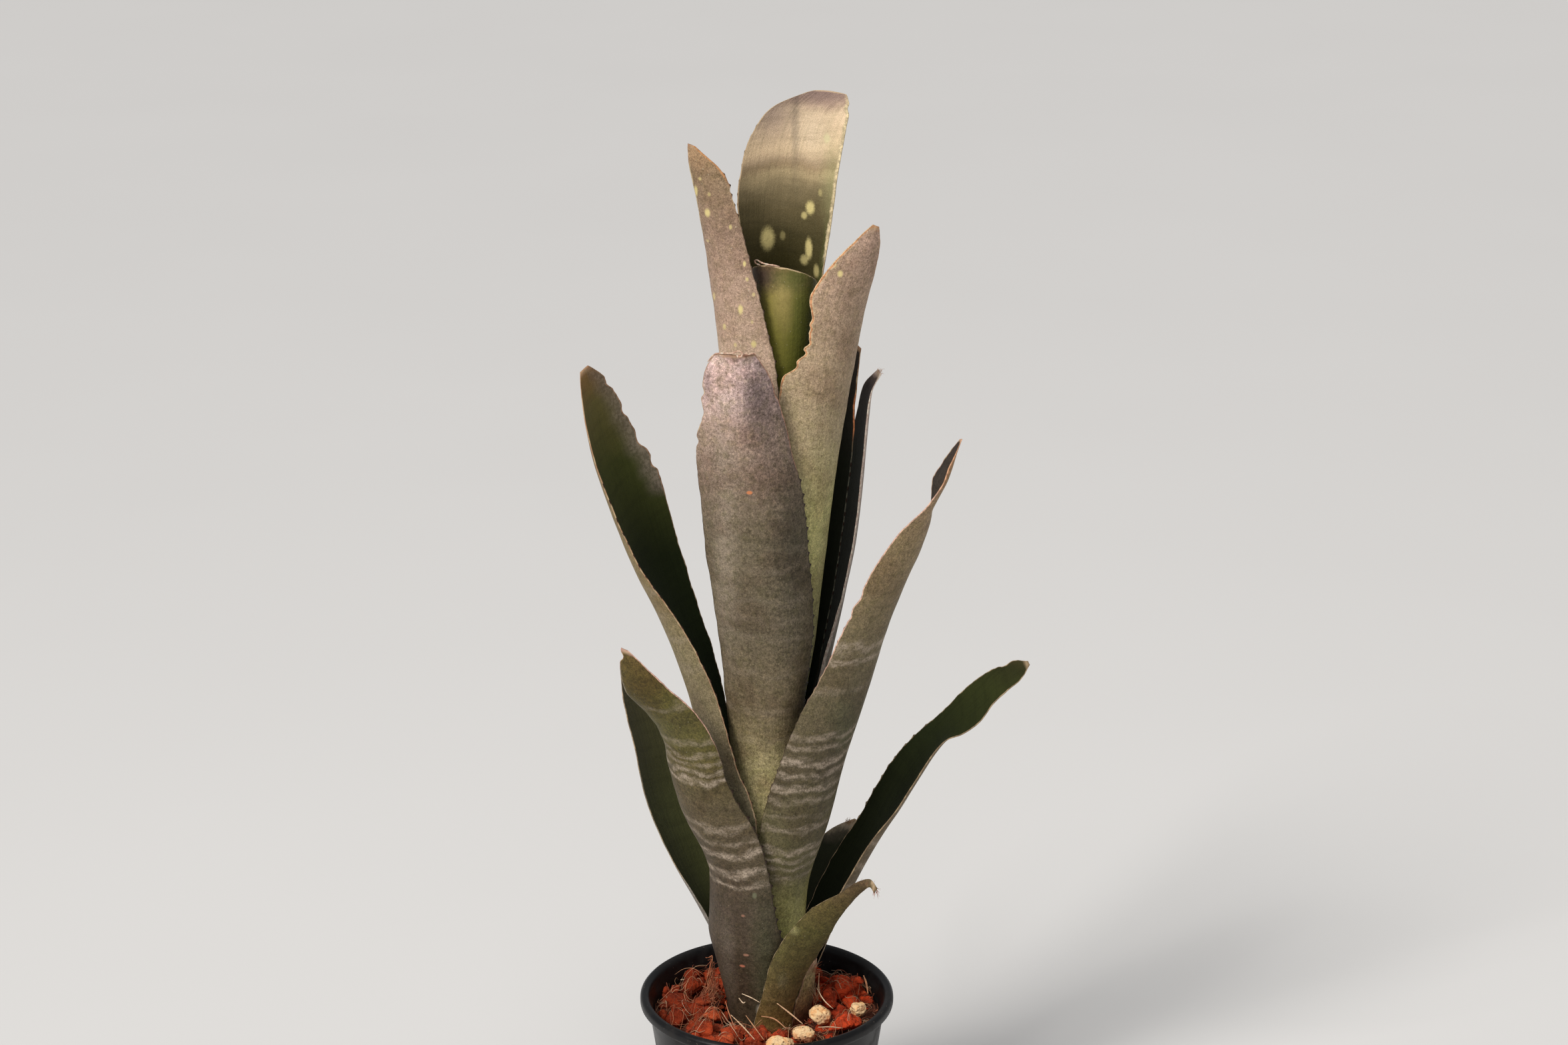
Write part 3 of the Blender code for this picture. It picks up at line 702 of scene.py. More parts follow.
class LeafPaint:
    """The nodes of one leaf's material, over its own grain, streaks and clouds."""

    bands_in_ramp = 7
    band_shape = ((-1.15, 0.0), (-0.2, 1.0), (0.3, 1.0), (1.15, 0.0))

    def __init__(self, finish: LeafFinish, name: str) -> None:
        """Start the material with the leaf's measures and noises.

        Args:
            finish: Colours and marks of the leaf.
            name: Name of the material.
        """
        self.finish = finish
        self.shader = shader = Shader(name)
        self.place = place = shader.place()
        self.height = shader.split(place)[2]
        self.across, self.tip, self.edge = shader.split(shader.attribute("blade"))
        self.inside = shader.attribute("inside", "Fac")
        self.grain = shader.noise(place, 1.5, 3.0, 0.7)
        self.fine = shader.noise(place, 3.2, 2.0, 0.6)
        self.hairs = shader.smooth(shader.cells(place, 1.5), 0.12, 0.50, 1.0, 0.0)
        self.streaks = self.blade_noise(0.8, 0.03, 2.0, 3.0, 0.6)
        self.clouds = shader.noise(place, 0.07, 3.0, 0.55)
        self.mottle = shader.noise(place, 0.32, 3.0, 0.6)
        self.rings = self.blade_noise(0.05, 0.30, 6.0)
        self.drift = self.height + (self.streaks - 0.5) * 5.0 + (self.clouds - 0.5) * 12.0
        self.middling = shader.noise(place, 0.75, 2.0, 0.6)

    def blade_noise(
        self, across: float, along: float, seed: float, detail: float = 2.0, roughness: float = 0.5
    ) -> Value:
        """Noise that is stretched along or across the blade.

        Args:
            across: Lumps for each millimetre across the blade.
            along: Lumps for each millimetre towards the tip.
            seed: Place of the noise in depth.
            detail: Levels of finer noise.
            roughness: Strength of each finer level.

        Returns:
            The noise.
        """
        place = self.shader.join(self.across * across, self.tip * along, seed)
        return self.shader.noise(place, 1.0, detail, roughness)

    def by_height(self, stops: Stops) -> Value:
        """Colour at the drifting height.

        Args:
            stops: Heights and their colours.

        Returns:
            The colour.
        """
        low, high = stops[0][0], stops[-1][0] + 0.01
        share = (self.drift - low) / (high - low)
        return self.shader.ramp(share, [((at - low) / (high - low), colour) for at, colour in stops])

    def band_mask(self, reach: Callable[[float], float]) -> Value:
        """Wavy scale bands across the blade.

        Args:
            reach: Gives the distance from the tip for a height.

        Returns:
            A mask from 0 to 1.
        """
        shader = self.shader
        wave = self.blade_noise(0.10, 0.11, 3.0, 1.5) - 0.5
        fray = self.blade_noise(0.50, 0.5, 9.0, 3.0, 0.7) - 0.5
        place = self.tip + wave * 7.5 + fray * 3.0
        spans = sorted((reach(height), half, strength) for height, half, strength in self.finish.bands)
        mask = None
        for first in range(0, len(spans), self.bands_in_ramp):
            group = spans[first : first + self.bands_in_ramp]
            low, high = group[0][0] - 5.0, group[-1][0] + 5.0
            stops = [(0.0, (0.0,) * 3)]
            for at, half, strength in group:
                for offset, level in self.band_shape:
                    position = (at + offset * half - low) / (high - low)
                    if position > stops[-1][0]:
                        stops.append((position, (level * strength,) * 3))
            part = shader.ramp((place - low) / (high - low), stops)
            mask = shader.math("MAXIMUM", mask, part) if mask else part
        patches = self.blade_noise(0.16, 0.28, 5.0)
        breaks = self.blade_noise(0.30, 0.55, 12.0, 2.5, 0.6)
        mask = mask * shader.smooth(patches, 0.34, 0.56, 0.3, 1.0)
        return mask * shader.smooth(breaks, 0.34, 0.56, 0.35, 1.0)

    def spotted(self, colour: Value, wash: bool, grain: Value, face: Any) -> Value:
        """Add the oval tints or the oval marks.

        Args:
            colour: Colour under them.
            wash: Whether the tints are added, and not the marks.
            grain: Noise that frays them.
            face: 1 on the face that carries them.

        Returns:
            The colour with the tints or marks.
        """
        shader = self.shader
        for spot in self.finish.spots:
            if spot.wash is not wash:
                continue
            offset = shader.vector("SUBTRACT", self.place, (spot.x, 0.0, spot.z))
            offset = shader.vector("MULTIPLY", offset, (1.0 / spot.wide, 0.0, 1.0 / spot.tall))
            away = shader.vector("LENGTH", offset, (0.0, 0.0, 0.0), "Value") + (grain - 0.5) * 0.7
            mark = shader.smooth(away, 1.0 - spot.soft, 1.0 + spot.soft * 0.7, spot.strength, 0.0)
            colour = shader.mix(colour, spot.colour, mark * face)
        return colour

    def edged(self, colour: Value, wash: bool, ragged: Value) -> Value:
        """Add the broad tints or the strips along the margins.

        Args:
            colour: Colour under them.
            wash: Whether the tints are added, and not the strips.
            ragged: Noise that frays them.

        Returns:
            The colour with the tints or strips.
        """
        shader = self.shader
        for edging in self.finish.edgings:
            if edging.wash is not wash:
                continue
            ends = (1.0, 0.0) if edging.side is Side.LEFT else (0.0, 1.0)
            beside = shader.smooth(self.across, -0.6, 0.6, *ends)
            reach = self.edge + (ragged - 0.5) * min(edging.width, 1.2) * 1.4
            start = edging.width * (1.0 - edging.soft)
            strip = shader.smooth(reach, start, edging.width * 1.1, edging.strength, 0.0)
            rise = shader.smooth(self.height, edging.low - 3.0, edging.low + 3.0)
            fall = shader.smooth(self.height, edging.high - 3.0, edging.high + 3.0, 1.0, 0.0)
            darker, lighter = (tuple(min(0.9, c * share) for c in edging.colour) for share in (0.72, 1.28))
            tone = shader.mix(darker, lighter, shader.smooth(self.middling, 0.38, 0.62))
            colour = shader.mix(colour, tone, strip * beside * rise * fall)
        return colour

    def face_colour(self, face: Face, stops: Stops, tints: Iterable[tuple]) -> Value:
        """Colour of one face under its scurf.

        Args:
            face: The face.
            stops: Its colours by height.
            tints: The layers that darken or lighten it.

        Returns:
            The colour.
        """
        colour = self.by_height(stops)
        if self.finish.spotted is face:
            colour = self.spotted(colour, True, self.middling, 1.0)
        colour = self.edged(colour, True, self.middling)
        for tint in tints:
            colour = self.shader.layer(colour, *tint, blend="MULTIPLY")
        return colour

    def dried(self, colour: Value, ragged: Value) -> tuple[Value, Value]:
        """Add the dark margin, the dried rim and the dried tip.

        Args:
            colour: Colour under them.
            ragged: Noise along the margin.

        Returns:
            The colour, and a mask of the rim.
        """
        shader, finish = self.shader, self.finish
        line = self.edge - (ragged - 0.5) * finish.rim_width * 2.0
        rim = shader.smooth(line, finish.rim_width * 0.4, finish.rim_width * 1.3, 1.0, 0.0)
        rim = rim * shader.smooth(self.height, finish.rim_from - 12.0, finish.rim_from + 12.0)
        end = self.tip + (ragged - 0.5) * 3.0
        end = shader.smooth(end, finish.dry_tip * 0.4, finish.dry_tip * 1.3, 1.0, 0.0)
        tone = shader.mix(finish.rim, Tones.pale_rim, shader.smooth(ragged, 0.42, 0.66))
        colour = shader.mix(colour, Tones.tooth, shader.smooth(self.edge, 0.08, 0.34, 0.5, 0.0))
        return shader.mix(colour, tone, shader.math("MAXIMUM", rim * 0.85, end * 0.8)), rim

    def material(self, reach: Callable[[float], float]) -> Material:
        """Make the leaf's material.

        Args:
            reach: Gives the distance from the tip for a height.

        Returns:
            The material.
        """
        shader, finish, place, inside = self.shader, self.finish, self.place, self.inside
        grain, fine, streaks, mottle = self.grain, self.fine, self.streaks, self.mottle
        blotch = finish.blotch
        outer = self.face_colour(Face.OUTER, finish.outer, (
            ((0.60, 0.50, 0.46), self.clouds, 0.42, 0.66, blotch),
            ((0.62, 0.66, 0.50), mottle, 0.44, 0.64, blotch),
            ((0.66, 0.66, 0.64), streaks, 0.50, 0.72, finish.streaked),
            ((0.74, 0.74, 0.72), self.rings, 0.48, 0.66, blotch),
            ((1.5, 1.45, 1.4), self.middling, 0.50, 0.68, blotch),
            ((0.52, 0.48, 0.42), self.middling, 0.32, 0.5, blotch, 1.0, 0.0),
            ((0.40, 0.38, 0.36), fine, 0.36, 0.56, 0.42 * finish.grit, 1.0, 0.0),
            ((0.50, 0.48, 0.46), grain, 0.34, 0.54, 0.45 * finish.grit, 1.0, 0.0),
        ))
        cover = self.hairs * shader.smooth(grain, 0.40, 0.60, 0.15, 1.0)
        cover = cover * shader.smooth(streaks, 0.32, 0.6, 0.5, 1.0)
        cover = shader.math("MAXIMUM", cover, shader.smooth(fine, 0.56, 0.70, 0.0, 0.7))
        outer = shader.mix(outer, Tones.lit, cover * finish.scurf, "MULTIPLY")
        dots = shader.smooth(shader.cells(place, 0.42), 0.05, 0.12, 1.0, 0.0)
        dots = dots * shader.smooth(mottle, 0.46, 0.56)
        outer = shader.mix(outer, Tones.silver, dots * finish.flecks)
        if finish.bands:
            band = self.band_mask(reach)
            outer = shader.mix(outer, Tones.band, band * shader.smooth(grain, 0.36, 0.58, 0.35, 1.0))

        inner = self.face_colour(Face.INNER, finish.inner, (
            ((0.55, 0.60, 0.52), streaks, 0.45, 0.7, finish.streaked),
            ((0.66, 0.66, 0.64), self.rings, 0.46, 0.66, blotch),
            ((0.60, 0.60, 0.56), fine, 0.36, 0.56, 0.5, 1.0, 0.0),
        ))
        inner = shader.mix(inner, Tones.lit, cover * finish.inner_scurf, "MULTIPLY")
        colour = shader.mix(outer, inner, inside)

        colour = self.spotted(colour, False, grain, inside if finish.spotted is Face.INNER else 1.0 - inside)
        ragged = shader.noise(shader.join(self.tip * 0.35, self.across * 0.2, 1.0), 1.0, 2.0)
        colour, rim = self.dried(colour, ragged)
        colour = self.edged(colour, False, ragged)
        colour = shader.mix(colour, Tones.tooth, shader.smooth(self.edge, -0.4, 0.0, 1.0, 0.0))

        rough = shader.math("MULTIPLY", inside, finish.inner_roughness - finish.roughness) + finish.roughness
        rough = rough + cover * 0.15 + rim * 0.1
        relief = streaks * 0.4 + cover * 0.08 + grain * 0.14 + mottle * 0.4
        return shader.surface(colour, rough, shader.bump(relief, 0.5), Specular_IOR_Level=finish.gloss)


@dataclass
class Leaf:
    """One leaf of the plant."""

    form: LeafForm
    finish: LeafFinish

    def margins(self, rows: Sections, arc: np.ndarray, rng: random.Random) -> np.ndarray:
        """How far the blade reaches on both sides of the midrib, as shares.

        Args:
            rows: The fine cross-sections.
            arc: Half the arc length of each row.
            rng: Source of chance.

        Returns:
            Shares of both sides, one row for each side.
        """
        reach = np.ones((2, len(arc)))
        for side, edge in ((Side.LEFT, rows.left), (Side.RIGHT, rows.right)):
            seed = rng.uniform(0.0, 90.0)
            loss = np.zeros(len(arc))
            for k, (height, at) in enumerate(zip(edge[:, 2], rows.span)):
                if height >= BladeSizes.hidden_foot:
                    wave = waves(BladeSizes.margin_waves, at, seed)
                    loss[k] = self.form.jag * (BladeSizes.jag_share + BladeSizes.wave_share * wave)
            for bite in self.form.bites:
                if bite.side is side:
                    near = np.clip(1 - ((edge[:, 2] - bite.height) / bite.reach) ** 2, 0.0, 1.0)
                    fray = np.array([waves(BladeSizes.bite_waves, at, seed) for at in rows.span])
                    loss = loss + bite.depth * near**2 * (1.0 + BladeSizes.fray_share * fray)
            reach[side.value] = 1.0 - np.clip(loss / arc, *BladeSizes.loss_limits)
        return reach

    def tooth_reach(self, rows: Sections, arc: np.ndarray, rng: random.Random) -> np.ndarray:
        """How far the teeth stand out of the margins, as shares.

        Args:
            rows: The fine cross-sections.
            arc: Half the arc length of each row.
            rng: Source of chance.

        Returns:
            Extra shares, one row for each side.
        """
        extra = np.zeros((2, len(arc)))
        for teeth in self.form.teeth:
            edge = rows.left if teeth.side is Side.LEFT else rows.right
            place = rng.uniform(0.0, BladeSizes.tooth_pitch)
            for k in range(2, len(arc) - 2):
                place -= rows.span[k] - rows.span[k - 1]
                if place > 0.0:
                    continue
                place += BladeSizes.tooth_pitch * rng.uniform(*BladeSizes.tooth_spread)
                if teeth.low < edge[k, 2] < teeth.high:
                    tall = teeth.tall * rng.uniform(*BladeSizes.tooth_height) / arc[k]
                    extra[teeth.side.value, k - 1] += tall * BladeSizes.tooth_shoulder
                    extra[teeth.side.value, k] += tall
        return extra

    def build(self, foot_radius: float, inner: np.ndarray, seed: int) -> np.ndarray:
        """Build the leaf.

        Args:
            foot_radius: Radius of its sheath at the foot.
            inner: Points on the leaves inside it.
            seed: Seed of its small irregularities.

        Returns:
            Points on the leaf, for the leaves around it.
        """
        rng = random.Random(seed)
        coarse = self.form.sections(foot_radius, self.form.rows)
        cloud = self.form.sections(foot_radius, BladeSizes.cloud_rows)
        if len(inner):
            settle(coarse, inner)
            settle(cloud, inner)
        rows = coarse.finer(BladeSizes.row_step, BladeSizes.hidden_foot)
        arc = rows.frames()[4] * rows.curl
        reach = self.margins(rows, arc, rng)
        half = 1.0 - (1.0 - np.linspace(0.0, 1.0, BladeSizes.half_columns + 1)) ** BladeSizes.crowding
        spread = np.concatenate([-half[::-1], half[1:]])
        limit = np.where(spread < 0.0, reach[0][:, None], reach[1][:, None])
        share = limit * spread
        edge = (limit - np.abs(share)) * arc[:, None]
        teeth = self.tooth_reach(rows, arc, rng)
        share[:, 0] -= teeth[0]
        share[:, -1] += teeth[1]
        edge[:, 0] -= teeth[0] * arc
        edge[:, -1] -= teeth[1] * arc
        points, normals = rows.points(share)
        tip = np.repeat((rows.span[-1] - rows.span)[:, None], share.shape[1], axis=1)
        points = points + self.unevenness(rows, points, normals, share, rng)
        edge = np.minimum(edge, tip + 0.05) if self.form.torn else edge
        middle, margin = BladeSizes.middle_thickness, BladeSizes.margin_thickness
        thick = margin + (middle - margin) * (1.0 - np.abs(share).clip(0.0, 1.0) ** BladeSizes.thinning)
        thick *= np.clip(tip / BladeSizes.thin_tip, BladeSizes.thin_tip_share, 1.0)
        offset = normals * (thick / 2)[..., None]
        material = LeafPaint(self.finish, f"{self.form.name}_blade").material(self.distance_from_tip(rows))
        obj = self.shell(points + offset, points - offset, material)
        facts = np.stack([share * arc[:, None], tip, edge], axis=-1).reshape(-1, 3)
        set_numbers(obj, "blade", "FLOAT_VECTOR", np.concatenate([facts, facts]))
        set_numbers(obj, "inside", "FLOAT", np.repeat([0.0, 1.0], len(facts)))
        settle_in(obj, self.finish.slot, self.form.name)
        columns = np.linspace(-1.0, 1.0, BladeSizes.cloud_columns)
        return cloud.points(np.tile(columns, (BladeSizes.cloud_rows, 1)))[0].reshape(-1, 3)

    def unevenness(
        self, rows: Sections, points: np.ndarray, normals: np.ndarray, share: np.ndarray, rng: random.Random
    ) -> np.ndarray:
        """Small moves that make the blade uneven and its top torn.

        Args:
            rows: The fine cross-sections.
            points: Points of the sheet.
            normals: Their outward normals.
            share: Share of each point across its row.
            rng: Source of chance.

        Returns:
            A move for each point.
        """
        form, scale = self.form, BladeSizes.uneven_scale
        seed = rng.uniform(0.0, 50.0)
        free = np.clip((points[..., 2] - BladeSizes.hidden_foot) / BladeSizes.uneven_rise, 0.0, 1.0)
        lumps = np.zeros(share.shape)
        tear = np.zeros(share.shape)
        for k, at in enumerate(rows.span):
            tip = rows.span[-1] - at
            for j, across in enumerate(share[k]):
                curl = BladeSizes.curl_height * abs(across) ** 3
                curl = curl * soft_noise(at * BladeSizes.curl_scale, across, seed + 9)
                lumps[k, j] = soft_noise(at * scale[0], across * scale[1], seed) + curl
            if form.torn and tip < BladeSizes.torn_depth:
                fade = (1.0 - tip / BladeSizes.torn_depth) ** BladeSizes.torn_fade
                for j, across in enumerate(share[k]):
                    tear[k, j] = form.torn * waves(BladeSizes.tear_waves, across, seed) * fade
            if form.peak:
                fade = max(0.0, 1.0 - tip / (form.peak * BladeSizes.peak_reach))
                tear[k] -= form.peak * np.abs(share[k]) ** 2 * fade
        moves = normals * (lumps * free * form.ripple)[..., None]
        return moves + rows.frames()[3][:, None] * tear[..., None]

    def distance_from_tip(self, rows: Sections) -> Callable[[float], float]:
        """A function from a height to the distance from the tip, along the midrib."""
        heights = (rows.left[:, 2] + rows.right[:, 2]) / 2
        return lambda height: float(rows.span[-1] - np.interp(height, heights, rows.span))

    def shell(self, outer: np.ndarray, inner: np.ndarray, material: Material) -> Object:
        """A closed blade between two grids of points.

        Args:
            outer: Points of the outer face, row by row.
            inner: Points of the inner face.
            material: The leaf's material.

        Returns:
            The object.
        """
        count, wide = outer.shape[:2]
        index = np.arange(count * wide).reshape(count, wide)
        back = index + count * wide
        faces = []
        for k in range(count - 1):
            for j in range(wide - 1):
                ring = (index[k, j], index[k, j + 1], index[k + 1, j + 1], index[k + 1, j])
                faces.append(ring)
                faces.append(tuple(i + count * wide for i in reversed(ring)))
            faces.append((index[k + 1, 0], back[k + 1, 0], back[k, 0], index[k, 0]))
            faces.append((index[k, -1], back[k, -1], back[k + 1, -1], index[k + 1, -1]))
        for j in range(wide - 1):
            faces.append((index[0, j + 1], index[0, j], back[0, j], back[0, j + 1]))
            faces.append((index[-1, j], index[-1, j + 1], back[-1, j + 1], back[-1, j]))
        verts = np.concatenate([outer.reshape(-1, 3), inner.reshape(-1, 3)])
        return smooth_object(self.form.name + "_blade", verts, faces, material)


# Each leaf has its form, by stations from its sheath to its tip, and its finish, by height on both faces.
L, R = Side.LEFT, Side.RIGHT

INNER_TUBE = Leaf(LeafForm(
    "leaf_inner_tube", 0, 150,
    (
        polar(200, 7.2, 2, 150, (1, 0)), polar(300, 9, 5, 150, (3.5, 0)),
        polar(350, 10.4, 4, 150, (6.5, 0)), Station((2, 9.5, 386.6), (13.8, 9.5, 384.2), 150),
    ),
    swell=1.15, rows=12, jag=0.2, torn=0.4, peak=16, ripple=0.1,
), LeafFinish(
    "tube_leaf",
    (
        (330, (0.126, 0.121, 0.017)), (362, (0.165, 0.151, 0.024)), (374, (0.275, 0.229, 0.059)),
        (380, (0.288, 0.214, 0.088)), (385, (0.194, 0.118, 0.058)),
    ),
    ((330, (0.015, 0.017, 0.008)), (386, (0.026, 0.024, 0.018))),
    scurf=0.05, blotch=0.12, streaked=0.25, grit=0.3, roughness=0.5, inner_roughness=0.8, gloss=0.06,
    rim=Tones.pale_rim, rim_width=0.2, dry_tip=0.4,
    spots=(
        # Painted shade on the tube's round right and left sides.
        Spot(14.5, 366, 8, 26, (0.105, 0.12, 0.028), 0.8, 1),
        Spot(-4, 362, 5, 26, (0.115, 0.095, 0.03), 0.8, 1),
        # A painted highlight down the middle of the tube.
        Spot(5.8, 373, 3.4, 12, (0.5, 0.38, 0.15), 0.6, 1),
        Spot(5, 358, 4, 17, (0.18, 0.165, 0.038), 0.6, 1),
        Spot(-0.5, 381.5, 6, 5.5, (0.06, 0.036, 0.034), 0.85, 0.9),
        # Painted shade on the right side near the top.
        Spot(10, 382, 7, 4.5, (0.115, 0.125, 0.032), 0.7, 0.9),
    ),
))

BACK_TOP = Leaf(LeafForm(
    "leaf_back_top", 180, 65,
    (
        polar(200, 9.8, 180, 66, (1, 0)), Station((15, 6, 260), (-11, 6, 260), 62),
        Station((17.5, 7.5, 320), (-12, 7.5, 320), 58), Station((22.2, 9, 384), (-9, 10, 388), 50),
        Station((25.2, 10, 403), (-10.3, 10, 407), 42), Station((26.9, 10, 417), (-8.7, 10, 419), 38),
        Station((28.9, 11, 428), (-6, 11, 428.2), 31), Station((30.4, 11.5, 437), (-0.6, 11.5, 437.2), 25),
        Station((31.1, 12, 441.6), (5.2, 12, 442.3), 18),
        Station((30.8, 12, 444.2), (11.6, 12.4, 445.6), 12),
        Station((29.6, 12.2, 445.5), (18, 12.8, 446.9), 8),
    ),
    rows=24, jag=0.2, peak=0.5,
    teeth=(Teeth(R, 402, 434, 0.3),),
    bites=(Bite(L, 439.6, 0.9, 2.2),),
), LeafFinish(
    "spotted_leaf",
    (
        (200, (0.13, 0.13, 0.07)), (330, (0.17, 0.15, 0.1)), (400, (0.22, 0.17, 0.125)),
        (447, (0.28, 0.205, 0.16)),
    ),
    (
        (330, (0.046, 0.043, 0.012)), (380, (0.057, 0.046, 0.014)), (392, (0.076, 0.06, 0.022)),
        # Partly the face's own colour and partly painted light: much lighter on the lit top, with a painted
        # shadow band at 417.
        (402, (0.144, 0.11, 0.05)), (410, (0.276, 0.212, 0.113)), (414.5, (0.5, 0.379, 0.212)),
        (417, (0.392, 0.28, 0.16)), (420, (0.5, 0.363, 0.227)), (424, (0.783, 0.582, 0.368)),
        (438, (0.834, 0.627, 0.423)), (443, (0.55, 0.379, 0.282)), (447, (0.35, 0.22, 0.172)),
    ),
    inner_scurf=0.2, streaked=0.3, rim=(0.5, 0.36, 0.22), rim_width=0.4, dry_tip=0.8,
    spotted=Face.INNER, inner_roughness=0.42,
    edgings=(
        Edging(L, 384, 443, 1.5, Tones.cream, 0.95, 0.6),
        Edging(L, 372, 398, 3.2, (0.13, 0.14, 0.045), 0.5, 0.8),
    ),
    spots=(
        Spot(11, 434, 1.5, 20, (0.16, 0.13, 0.09), 0.5, 1),
        Spot(2, 438, 9, 9, (0.32, 0.225, 0.2), 0.6, 1), Spot(20, 445, 14, 4, (0.3, 0.21, 0.19), 0.6, 1),
        Spot(17, 430, 6, 8, (0.8, 0.64, 0.45), 0.5, 1),
        Spot(25, 412, 4, 16, (0.38, 0.36, 0.17), 0.5, 1), Spot(0.7, 390, 2.5, 4.2),
        Spot(16.5, 402, 1.6, 2.5), Spot(14.3, 398.9, 1.1, 1.4, strength=0.6), Spot(16, 386.5, 1.3, 3.8),
        Spot(22.6, 428.3, 1.2, 1.9, (0.66, 0.6, 0.34), 0.7), Spot(6.3, 391, 1, 1.7, strength=0.3),
        Spot(14.3, 382.2, 1.5, 1.9, strength=0.6), Spot(18.8, 378.7, 1, 2.4, strength=0.5),
        Spot(20.2, 408, 0.8, 1.4, strength=0.3),
    ),
))

LEFT_TALL = Leaf(LeafForm(
    "leaf_left_tall", -45, 62,
    (
        polar(200, 10.6, -42, 62, (0.5, 0)), Station((-12, 1, 250), (6.5, -11.5, 250), 60),
        Station((-14.3, 0, 300), (6.5, -13.5, 300), 56), Station((-17, -1, 350), (3.6, -14, 350), 48),
        Station((-19.6, -3, 373.5), (-1, -14, 370.5), 43), Station((-22.3, -5, 393), (-6.3, -14, 392), 38),
        Station((-25.4, -9, 413), (-12, -15, 413), 30), Station((-28, -13, 427), (-17.5, -15, 425), 18),
        Station((-28, -14, 432.5), (-25, -15, 431.5), 6),
    ),
    rows=22,
    teeth=(Teeth(R, 345, 422, 0.8),),
), LeafFinish(
    "spotted_leaf",
    (
        (200, (0.311, 0.276, 0.155)), (345, (0.706, 0.509, 0.372)), (372, (0.491, 0.34, 0.249)),
        (400, (0.366, 0.246, 0.174)), (422, (0.359, 0.25, 0.149)), (432, (0.468, 0.292, 0.158)),
    ),
    ((200, (0.05, 0.055, 0.02)), (400, (0.08, 0.07, 0.04)), (432, (0.11, 0.08, 0.055))),
    rim_width=0.3, rim_from=404, flecks=0.8,
    edgings=(Edging(R, 419, 440, 1, Tones.bitten, 0.85), Edging(L, 398, 424, 0.8, Tones.cream, 0.6)),
    spots=(
        Spot(-21, 406.4, 1, 1.6), Spot(-25.2, 414, 0.7, 2.2),
        Spot(-12.6, 401.7, 0.6, 0.9, strength=0.6), Spot(-7.6, 387.9, 0.6, 1.1),
        Spot(-6.7, 382.1, 0.6, 0.8, strength=0.6), Spot(-9.1, 370.6, 0.9, 1.8),
        Spot(-15.1, 362.9, 0.6, 1.2, strength=0.6), Spot(-4.3, 357.6, 1, 1.3),
        Spot(-11.1, 356.7, 0.6, 0.9, strength=0.5), Spot(-23.6, 419.4, 0.6, 0.7, strength=0.5),
        Spot(-20.3, 413.7, 0.6, 0.8, strength=0.4), Spot(-21.1, 395.1, 0.6, 0.6, strength=0.4),
        Spot(-4.3, 376.4, 0.6, 0.8, strength=0.5), Spot(-4.9, 366, 0.6, 0.7, strength=0.4),
        Spot(-18.9, 373.5, 0.5, 1.6, strength=0.5),
    ),
))

RIGHT_TALL = Leaf(LeafForm(
    "leaf_right_tall", 42, 60,
    (
        polar(200, 12.2, 42, 60, (0.5, 0)), Station((3, -13.8, 240), (18, 3, 240), 58),
        Station((3.5, -14.8, 268), (21.4, 3, 266), 56), Station((3.8, -15.3, 305), (26.2, 3, 305), 53),
        Station((5, -15.5, 340), (32, 2, 340), 47), Station((10.5, -15, 365), (36.3, 0, 365), 41),
        Station((18.5, -14, 380), (39.3, -3, 379), 33), Station((28, -13, 391.5), (41.6, -6, 390.5), 23),
        Station((35.8, -11.5, 399), (42, -8.5, 397.5), 12),
        Station((39, -10.5, 401.6), (41.5, -9.5, 400.5), 6),
    ),
    rows=26,
    bites=(Bite(L, 358, 7.4, 14), Bite(L, 369.5, 3.4, 7.5), Bite(L, 349, 1.6, 3)),
), LeafFinish(
    "spotted_leaf",
    (
        # The leaf's greener base, lifted by painted light where the lower blade lies in shade (the stops at
        # 200 and 290).
        (200, (0.467, 0.443, 0.175)), (290, (0.606, 0.558, 0.24)), (320, (0.473, 0.375, 0.22)),
        (345, (0.484, 0.357, 0.23)), (380, (0.476, 0.329, 0.233)), (402, (0.533, 0.362, 0.276)),
    ),
    ((200, (0.045, 0.05, 0.02)), (402, (0.08, 0.075, 0.045))),
    blotch=0.4, rim=Tones.bitten, rim_width=0.4, rim_from=330,
    edgings=(
        Edging(L, 338, 398, 1.5, Tones.cream, 0.6, 0.7),
        Edging(L, 338, 400, 0.85, (0.5, 0.22, 0.1), 0.95, 0.4), Edging(L, 338, 402, 0.2, Tones.cream, 0.7),
    ),
    spots=(Spot(27.3, 383.9, 1, 1.2), Spot(25.3, 387.1, 0.6, 0.9, strength=0.4)),
))

BACK_RIGHT_UPPER = Leaf(LeafForm(
    "leaf_back_right_upper", 150, 52,
    (
        polar(190, 13.2, 148, 52), Station((20.5, 8, 225), (2, 19.5, 222), 50),
        Station((27.5, 11, 265), (6, 25, 262), 47), Station((31.5, 13, 297), (11, 28, 295), 45),
        Station((33.5, 15, 316), (15, 29, 315), 42), Station((34.5, 18, 334), (22, 29, 334), 32),
        Station((36, 21, 346), (31, 26, 349), 14),
    ),
    teeth=(Teeth(L, 228, 308),),
    bites=(Bite(L, 322, 2, 10),),
), LeafFinish(
    "dark_leaf",
    ((180, (0.12, 0.125, 0.06)), (349, (0.16, 0.135, 0.095))),
    ((180, (0.014, 0.018, 0.007)), (300, (0.018, 0.02, 0.01)), (349, (0.045, 0.032, 0.027))),
    inner_scurf=0.04, rim_width=0.3, rim_from=312, inner_roughness=0.75, gloss=0.12,
    edgings=(
        Edging(L, 314, 329, 0.6, Tones.orange_scar, 0.9), Edging(L, 228, 308, 0.3, (0.2, 0.2, 0.15), 0.6),
    ),
))

